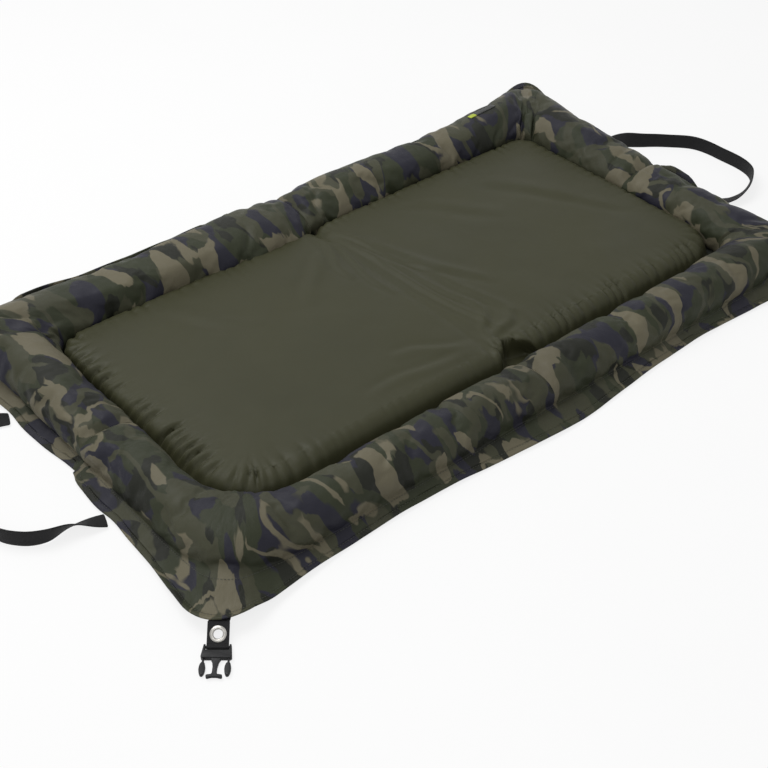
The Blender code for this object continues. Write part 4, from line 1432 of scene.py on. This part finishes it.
def makeGroundSheet():
    stations = quarterStations(sheet["step"], sheet["cornerSteps"])
    inner = [station for station in stations if station[0] != "short"]
    short = [station for station in stations if station[0] == "short"]
    half, across = len(inner) - 1, len(short)
    columns = 2 * across + 1
    points, cloth = [], []
    for number in range(-half, half + 1):
        spot = planPoint(inner[abs(number)], sheet["flatOutset"])
        for row in range(columns):
            x = math.copysign(spot.x, number)
            y = spot.y * (row / across - 1)
            points.append(Vector((x, y, sheet["height"])))
            cloth.append((x, y))
    faces = gridFaces(2 * half + 1, columns, flip=True)
    for signs in quarters.values():
        rim = []
        for index, station in enumerate(stations):
            if station[0] == "short":
                column = half + signs[0] * half
                row = across + signs[1] * (across - (index - half))
            else:
                column = half + signs[0] * index
                row = across + signs[1] * across
            rim.append(column * columns + row)
        grid = []
        for place, station in zip(rim, stations):
            span = flangeSpan(station, signs)
            line = [place]
            start = planPoint(station, sheet["flatOutset"])
            seam = flangePoint(span, signs, 0, -flange["lift"])
            for share in sheet["rises"]:
                flat = start.lerp(span["inner"], share)
                height = sheet["height"] + (seam.z - sheet["height"]) * share * share
                line.append(len(points))
                points.append(Vector((signs[0] * flat.x, signs[1] * flat.y, height)))
                cloth.append((signs[0] * flat.x, signs[1] * flat.y))
            for share in sheet["shares"]:
                distance = share * (span["width"] - flange["edgeInset"])
                line.append(len(points))
                points.append(flangePoint(span, signs, distance, -flange["lift"]))
                flat = span["inner"] + span["out"] * distance
                cloth.append((signs[0] * flat.x, signs[1] * flat.y))
            grid.append(line)
        for before, after in zip(grid, grid[1:]):
            for column in range(len(before) - 1):
                faces.append((before[column], before[column + 1], after[column + 1], after[column]))
    piece = newPiece("ground_sheet", points, faces, finishes["ground"], cloth)
    weld(piece)
    facePiece(piece)
    smoothOnce(piece)
    overFold(piece)
    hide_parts("base_sheet_left", "base_sheet_right")
    return piece


groundSheet = makeGroundSheet()
print("ground sheet laid")


# hem binding round the edge of the flange

hem = {
    "step": 0.006,
    "cornerSteps": 14,
    "ripple": 0.0003,
    "rippleScale": 70,
    "rippleFrom": 0.0013,  # only what lies above the flange ripples
    # outward from the flange's edge and up, from under the upper turn to under the lower one
    "section": (
        (-0.0100, 0.0013), (-0.0098, 0.0020), (-0.0060, 0.0021), (-0.0018, 0.0017),
        (-0.0003, 0.0011), (0.0002, 0.0), (-0.0003, -0.0011), (-0.0015, -0.0015),
        (-0.0060, -0.0015), (-0.0100, -0.0014), (-0.0100, -0.0009),
    ),
}


def makeHem(half, side):
    stations = quarterStations(hem["step"], hem["cornerSteps"])
    rows = [(station, (side, -1)) for station in stations]
    rows += [(station, (side, 1)) for station in reversed(stations)]
    points, cloth = [], []
    for station, signs in rows:
        span = flangeSpan(station, signs)
        width, inner, scale = span["width"], span["inner"], hem["rippleScale"]
        ripple = hem["ripple"] * grain(inner.x * scale * signs[0], inner.y * scale * signs[1], 6.6)
        length = bolsterSection(station, 1)[1]
        start = planPoint(station, 0)
        for out, lift in hem["section"]:
            high = lift + ripple if lift > hem["rippleFrom"] else lift
            points.append(flangePoint(span, signs, width + out, high))
            away = (length + width + out) * bolster["printShare"] - lift
            cloth.append(printPlace(signs, start + span["out"] * away))
    faces = gridFaces(len(rows), len(hem["section"]))
    piece = newPiece("hem_binding_cloth_" + half, points, faces, finishes["camo"], cloth)
    facePiece(piece)
    overFold(piece)
    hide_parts("hem_binding_" + half)


makeHem("left", -1)
makeHem("right", 1)
print("hem bound")


# stitching

stitch = {
    "pitch": 0.0042,
    "length": 0.0030,
    "width": 0.0008,
    "height": 0.00045,
    "sink": 0.0002,  # its ends go this far into the cloth
    "shoulder": 0.62,  # its arch ends at this share of its length
    # each line: its name, how far in from the edge or else out from the seam, its height
    "lines": (
        ("hem_stitching", 0.0078, 0, 0.0021),
        ("seam_stitching", None, 0.0035, 0.0016),
    ),
}


def stitchAt(points, faces, spot, along, up):
    # one stitch: a small arched grain of thread
    across = up.cross(along).normalized()
    base = len(points)
    half = stitch["length"] / 2
    wide = stitch["width"] / 2
    for share in (-stitch["shoulder"], stitch["shoulder"]):
        centre = spot + along * half * share
        points.append(centre + across * wide)
        points.append(centre + up * stitch["height"])
        points.append(centre - across * wide)
    points.append(spot - along * half - up * stitch["sink"])
    points.append(spot + along * half - up * stitch["sink"])
    faces += [
        (base, base + 3, base + 4, base + 1),
        (base + 1, base + 4, base + 5, base + 2),
        (base + 6, base, base + 1),
        (base + 6, base + 1, base + 2),
        (base + 7, base + 4, base + 3),
        (base + 7, base + 5, base + 4),
    ]


def stitchLine(line, points, faces):
    # stitches at an even pitch along a line of places and their upward directions
    carried = 0
    for (first, up), (second, upAfter) in zip(line, line[1:]):
        gap = (second - first).length
        if gap < 1e-6:
            continue
        along = (second - first) / gap
        while carried < gap:
            share = carried / gap
            above = up.lerp(upAfter, share).normalized()
            stitchAt(points, faces, first.lerp(second, share), along, above)
            carried += stitch["pitch"]
        carried -= gap


def flangeLine(signs, stations, inFromEdge, fromSeam, lift):
    line = []
    for station in stations:
        span = flangeSpan(station, signs)
        distance = fromSeam if inFromEdge is None else span["width"] - inFromEdge
        place = flangePoint(span, signs, distance, lift)
        above = flangePoint(span, signs, distance, lift + 0.001)
        line.append((place, (above - place).normalized()))
    return line


def makeStitching():
    stations = quarterStations(hem["step"], hem["cornerSteps"])
    for name, inFromEdge, fromSeam, lift in stitch["lines"]:
        points, faces = [], []
        for signs in quarters.values():
            stitchLine(flangeLine(signs, stations, inFromEdge, fromSeam, lift), points, faces)
        piece = newPiece(name, points, faces, finishes["thread"])
        facePiece(piece)
        overFold(piece)


makeStitching()
print("stitching sewn")


# straps: woven webbing swept along a path

def curveThrough(knots, count):
    # a smooth run of points through the knots, each knot being a list of numbers
    knots = np.array(knots, float)
    padded = np.vstack([2 * knots[0] - knots[1], knots, 2 * knots[-1] - knots[-2]])
    result = []
    for index in range(1, len(padded) - 2):
        a, b, c, d = padded[index - 1 : index + 3]
        for number in range(count):
            t = number / count
            bend, twist = 2 * a - 5 * b + 4 * c - d, 3 * b - a - 3 * c + d
            result.append(0.5 * (2 * b + (c - a) * t + bend * t * t + twist * t**3))
    result.append(knots[-1])
    return result


selvedge = 0.0004  # how far a strap's rounded edge comes in
backShift = 0.05  # the back of a strap shows another part of the weave


def sweepStrap(name, centres, widths, width, thickness, material):
    # centres is the path and widths the direction across the strap at each point
    half, deep = width / 2, thickness / 2
    places = (-half + selvedge, -half * 0.5, 0, half * 0.5, half - selvedge)
    section = [(-half, 0), *((place, deep) for place in places)]
    section += [(half, 0), *((place, -deep) for place in reversed(places))]
    points, cloth = [], []
    run = 0
    for number, (centre, across) in enumerate(zip(centres, widths)):
        before, after = centres[max(0, number - 1)], centres[min(len(centres) - 1, number + 1)]
        along = (after - before).normalized()
        across = (across - along * across.dot(along)).normalized()
        up = along.cross(across)
        if number:
            run += (centre - centres[number - 1]).length
        for wide, high in section:
            points.append(centre + across * wide + up * high)
            cloth.append((run, wide + (backShift if high < 0 else 0)))
    faces = tubeFaces(len(centres), len(section))
    piece = newPiece(name, points, faces, material, cloth)
    facePiece(piece, closed=True)
    return piece


# carry handles, each a loop of strap that lies outside the hem

handle = {
    "width": 0.0250,
    "thickness": 0.0018,
    "uneven": 0.0006,
    "unevenScale": 30,
    "steps": 7,  # points of the strap from each knot to the next
    # x, y, how far the strap is turned on its edge, and the height of its lower edge
    "right": (
        (0.5645, 0.1500, 0.00, 0.0027), (0.5800, 0.1460, 0.10, 0.0026),
        (0.5980, 0.1330, 0.45, 0.0018), (0.6190, 0.1080, 0.85, 0.0010),
        (0.6560, 0.0740, 1.00, 0.0008), (0.6860, 0.0330, 1.00, 0.0008),
        (0.6905, -0.0230, 1.00, 0.0008), (0.6890, -0.0620, 1.00, 0.0008),
        (0.6800, -0.0860, 0.98, 0.0008), (0.6640, -0.1010, 0.90, 0.0010),
        (0.6320, -0.1150, 0.62, 0.0012), (0.6020, -0.1160, 0.30, 0.0020),
        (0.5800, -0.1060, 0.08, 0.0026), (0.5645, -0.1010, 0.00, 0.0027),
    ),
    "left": (
        (-0.5645, -0.1010, 0.00, 0.0027), (-0.5800, -0.0960, 0.15, 0.0024),
        (-0.6060, -0.0890, 0.55, 0.0014), (-0.6370, -0.0880, 0.90, 0.0010),
        (-0.6640, -0.0720, 1.00, 0.0008), (-0.6830, -0.0430, 1.00, 0.0008),
        (-0.6890, 0.0100, 1.00, 0.0008), (-0.6860, 0.0600, 1.00, 0.0008),
        (-0.6700, 0.1060, 1.00, 0.0008), (-0.6400, 0.1400, 0.92, 0.0010),
        (-0.6080, 0.1560, 0.60, 0.0014), (-0.5820, 0.1560, 0.18, 0.0024),
        (-0.5645, 0.1500, 0.00, 0.0027),
    ),
}


def makeHandle(half):
    centres, widths = [], []
    path = curveThrough(handle[half], handle["steps"])
    for number, (x, y, stand, low) in enumerate(path):
        before, after = path[max(0, number - 1)], path[min(len(path) - 1, number + 1)]
        along = Vector((after[0] - before[0], after[1] - before[1], 0)).normalized()
        flat = Vector((0, 0, 1)).cross(along)
        turn = min(1, max(0, stand)) * math.pi / 2
        across = flat * math.cos(turn) + Vector((0, 0, 1)) * math.sin(turn)
        height = low + handle["width"] / 2 * math.sin(turn)
        uneven = grain(x * handle["unevenScale"], y * handle["unevenScale"], 2)
        centres.append(Vector((x, y, height + handle["uneven"] * uneven)))
        widths.append(across)
    piece = sweepStrap(
        "handle_strap_" + half, centres, widths, handle["width"], handle["thickness"],
        finishes["webbing"],
    )
    smoothOnce(piece)
    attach(piece, "handle_" + half)
    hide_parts("carry_handle_" + half)


makeHandle("left")
makeHandle("right")
print("carry handles made")


# corner straps with their eyelets and buckles

strap = {
    "place": (0.55734, 0.33702, 0.01897),
    "bearing": 50,
    "slope": {"left": 30.0, "right": 26.6},
    "width": 0.025,
    "thickness": 0.0026,
    "eyelet": 0.0145,  # how far down the strap it sits
    # each ring's outline: outward from its hole or inward from its outer edge, and up from
    # the face of the strap or from its back
    "outer": 0.0097,
    "hole": 0.0054,
    "collar": (
        ("hole", 0.0, "back", 0.0001),
        ("hole", 0.0, "face", 0.0004),
        ("hole", 0.0004, "face", 0.0010),
        ("hole", 0.0012, "face", 0.0014),
        ("hole", 0.0022, "face", 0.0014),
        ("outer", -0.0010, "face", 0.0009),
        ("outer", -0.0002, "face", 0.0005),
        ("outer", 0.0, "face", 0.0003),
        ("outer", -0.0004, "face", 0.0001),
        ("hole", 0.0008, "face", 0.0001),
        ("hole", 0.0006, "back", 0.0001),
    ),
    "washer": (
        ("hole", 0.0003, "back", -0.0002),
        ("outer", -0.0003, "back", -0.0002),
        ("outer", 0.0, "back", -0.0004),
        ("outer", -0.0004, "back", -0.0008),
        ("hole", 0.0012, "back", -0.0011),
        ("hole", 0.0003, "back", -0.0006),
    ),
    # the sewn end: how far in from the hem and under the flange it starts and turns, its size
    "rootShare": 0.44,  # its place along the corner
    "rootStart": (0.030, 0.0018),
    "rootTurn": (0.014, 0.0022),
    "rootNarrower": 0.0006,
    "rootThickness": 0.0020,
    "rootOverlap": 0.0004,
    "bevel": 0.00045,
}


def strapFrame(corner):
    # x runs outward down the strap, z stands up from its face
    signs = quarters[corner]
    bearing = math.radians(strap["bearing"])
    out = Vector((signs[0] * math.cos(bearing), signs[1] * math.sin(bearing), 0))
    slope = math.radians(strap["slope"][corner.split("_")[1]])
    turn = math.atan2(out.y, out.x)
    place = Vector((signs[0] * strap["place"][0], signs[1] * strap["place"][1], strap["place"][2]))
    turned = Matrix.Translation(place) @ Matrix.Rotation(turn, 4, "Z")
    return turned @ Matrix.Rotation(slope, 4, "Y")


dressing = {
    "weld": 0.00001,
    "flatAngle": math.radians(1.5),  # faces this near to flat are made one
    "bevelAngle": math.radians(28),
    "sharpAngle": math.radians(40),
}


def dressed(node, name, material, matrix, bevel):
    # a finer copy of a moulded or woven piece, with its edges rounded
    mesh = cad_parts[node].data.copy()
    mesh.materials.clear()
    mesh.materials.append(material)
    shape = bmesh.new()
    shape.from_mesh(mesh)
    bmesh.ops.remove_doubles(shape, verts=shape.verts, dist=dressing["weld"])
    bmesh.ops.dissolve_limit(
        shape, angle_limit=dressing["flatAngle"], verts=shape.verts, edges=shape.edges
    )
    while shape.loops.layers.uv:
        shape.loops.layers.uv.remove(shape.loops.layers.uv[0])
    shape.to_mesh(mesh)
    shape.free()
    piece = bpy.data.objects.new(name, mesh)
    scene.collection.objects.link(piece)
    rounding = piece.modifiers.new("rounding", "BEVEL")
    rounding.width = bevel
    rounding.segments = 2
    rounding.limit_method = "ANGLE"
    rounding.angle_limit = dressing["bevelAngle"]
    rounding.harden_normals = False
    settle(piece)
    local = matrix.inverted()
    layer = piece.data.uv_layers.new(name="cloth")
    for polygon in piece.data.polygons:
        polygon.use_smooth = True
        for index in polygon.loop_indices:
            spot = local @ piece.data.vertices[piece.data.loops[index].vertex_index].co
            layer.data[index].uv = (spot.x, spot.y)
    piece.data.set_sharp_from_angle(angle=dressing["sharpAngle"])
    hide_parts(node)
    return piece


def lathe(name, profile, matrix, material):
    # a ring with this outline, turned in 64 steps
    steps = 64
    height = {"face": 0.0, "back": -strap["thickness"]}
    points = []
    for edge, outward, side, up in profile:
        radius = strap[edge] + outward
        for number in range(steps):
            angle = 2 * math.pi * number / steps
            points.append(matrix @ Vector((
                radius * math.cos(angle), radius * math.sin(angle), height[side] + up
            )))
    faces = tubeFaces(len(profile), steps, capped=False)
    piece = newPiece(name, points, faces, material)
    facePiece(piece, closed=True)
    return piece


def makeCornerStrap(corner):
    matrix = strapFrame(corner)
    body = "corner_strap_" + corner
    tab = dressed(
        "corner_tab_" + corner, "strap_" + corner, finishes["webbing"], matrix, strap["bevel"]
    )
    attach(tab, body)
    seat = matrix @ Matrix.Translation((strap["eyelet"], 0, 0))
    eyelet = lathe("eyelet_ring_" + corner, strap["collar"], seat, finishes["nickel"])
    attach(eyelet, body)
    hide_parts("eyelet_" + corner)
    washer = lathe("washer_ring_" + corner, strap["washer"], seat, finishes["nickel"])
    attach(washer, body)
    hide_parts("eyelet_washer_" + corner)


def makeStrapRoot(corner):
    # the sewn end of the strap, under the flange
    signs = quarters[corner]
    span = flangeSpan(("corner", strap["rootShare"]), signs)
    matrix = strapFrame(corner)
    root = matrix @ Vector((strap["rootOverlap"], 0, -strap["thickness"] / 2))
    away, middle = (
        flangePoint(span, signs, span["width"] - inward, -flange["lift"] - below)
        for inward, below in (strap["rootStart"], strap["rootTurn"])
    )
    middle = middle.lerp(root, 0.25)
    knots = [tuple(spot) for spot in (away, middle, middle.lerp(root, 0.6), root)]
    centres = [Vector(spot) for spot in curveThrough(knots, 5)]
    across = matrix.to_3x3() @ Vector((0, 1, 0))
    width = strap["width"] - strap["rootNarrower"]
    piece = sweepStrap(
        "strap_root_" + corner, centres, [across] * len(centres), width, strap["rootThickness"],
        finishes["webbing"],
    )
    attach(piece, corner.split("_")[1] + "_half")


for corner in quarters:
    makeCornerStrap(corner)
    makeStrapRoot(corner)
print("corner straps made")


# side release buckles

buckleBevels = {"plug": 0.0004, "arm": 0.0006, "socket": 0.0007}


def makeBuckleHalf(name, kind, corner, body):
    piece = dressed(
        name, body + "_moulding", finishes["plastic"], strapFrame(corner), buckleBevels[kind]
    )
    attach(piece, body)


for corner in ("front_left", "back_left"):
    makeBuckleHalf("buckle_plug_" + corner, "plug", corner, "plug_" + corner)
    for number in ("_1", "_2"):
        arm = corner + number
        makeBuckleHalf("release_arm_" + arm, "arm", corner, "arm_" + arm)
for corner in ("front_right", "back_right"):
    makeBuckleHalf("buckle_socket_" + corner, "socket", corner, "socket_" + corner)
print("buckles made")


# side label, sewn on the outer slope of the back bolster

label = {
    "length": 0.056,
    "width": 0.016,
    "forward": 0.009,
    "higher": 0.021,
    "slope": (0, -0.72, 0.69),
    "steps": 14,
    "lifts": (0.0011, 0.0004),  # its face and its back, off the cover
}


def makeLabel():
    cover = bolsters["back_right"]
    low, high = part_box("side_label")
    middle = (low + high) / 2 + Vector((0, -label["forward"], label["higher"]))
    graph = bpy.context.evaluated_depsgraph_get()
    shown = cover.evaluated_get(graph)
    points, cloth = [], []
    rows, columns = label["steps"] + 1, 5
    slope = Vector(label["slope"])
    for lift in label["lifts"]:
        for row in range(rows):
            for column in range(columns):
                along = label["length"] * (row / (rows - 1) - 0.5)
                across = label["width"] * (column / (columns - 1) - 0.5)
                guess = middle + Vector((along, 0, 0)) + slope * across
                _, place, normal, _ = shown.closest_point_on_mesh(guess)
                points.append(place + normal * lift)
                cloth.append((along + label["length"] / 2, across))
    faces = gridFaces(rows, columns)
    below = [tuple(index + rows * columns for index in face[::-1]) for face in faces]
    ring = ringOf(rows, columns)
    rim = bandFaces(ring, [index + rows * columns for index in ring])
    piece = newPiece("side_tag", points, faces + below + rim, finishes["label"], cloth)
    facePiece(piece, closed=True)
    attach(piece, "right_half")
    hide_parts("side_label")


makeLabel()
print("label sewn on")


# floor, light and world

stage = {
    "floor": 9,
    "gap": 0.0002,  # between the mat's underside and the floor
    "white": 0.80,  # how much of what the camera sees of the floor is plain white
    "sky": 0.42,
    # each lamp: its name, place, size and power
    "lamps": (
        ("overhead", (-0.5, 0.9, 2.2), 1.6, 35),
        ("fill", (-1.6, -1.4, 1.9), 1.4, 35 * 0.35),
    ),
}


def makeStage():
    material = newMaterial("paleFloor", **{"Roughness": 0.9, "Specular IOR Level": 0.0})
    shader = material.node_tree.nodes["Principled BSDF"]
    tint = speckle(material, addNode(material, "TexCoord").outputs["Object"], 3, 3)
    colour = mottled(material, tint, 0.3, 0.7, (0.90, 0.90, 0.90), (0.93, 0.93, 0.93))
    toShader(material, Base_Color=colour)
    path = addNode(material, "LightPath").outputs
    seen = mathNode(material, "MAXIMUM", path["Is Camera Ray"], path["Is Glossy Ray"])
    seen = mathNode(material, "MAXIMUM", seen, path["Is Transmission Ray"])
    share = mathNode(material, "MULTIPLY", seen, stage["white"])
    glow = addNode(material, "Emission", {"Color": (1, 1, 1, 1), "Strength": 1.0})
    both = addNode(material, "MixShader", {0: share, 1: shader.outputs[0], 2: glow.outputs[0]})
    output = material.node_tree.nodes["Material Output"]
    material.node_tree.links.new(both.outputs[0], output.inputs["Surface"])
    size = stage["floor"]
    corners = [(-size, -size, 0), (size, -size, 0), (size, size, 0), (-size, size, 0)]
    floor = newPiece("floor", corners, [(0, 1, 2, 3)], material)
    floor.location.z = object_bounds()[0].z - stage["gap"]

    world = bpy.data.worlds.new("studio")
    scene.world = world
    world.use_nodes = True
    background = world.node_tree.nodes["Background"]
    path = addNode(world, "LightPath").outputs
    seen = mathNode(world, "MAXIMUM", path["Is Camera Ray"], path["Is Glossy Ray"])
    background.inputs["Color"].default_value = (1, 1, 1, 1)
    world.node_tree.links.new(spread(world, seen, stage["sky"], 1.0), background.inputs["Strength"])

    for name, place, size, power in stage["lamps"]:
        data = bpy.data.lights.new(name, "AREA")
        data.energy = power
        data.size = size
        lamp = bpy.data.objects.new(name, data)
        scene.collection.objects.link(lamp)
        lamp.location = place
        lamp.rotation_euler = Vector(place).to_track_quat("Z", "Y").to_euler()


makeStage()
scene.view_settings.view_transform = "Standard"
print("stage and light set")
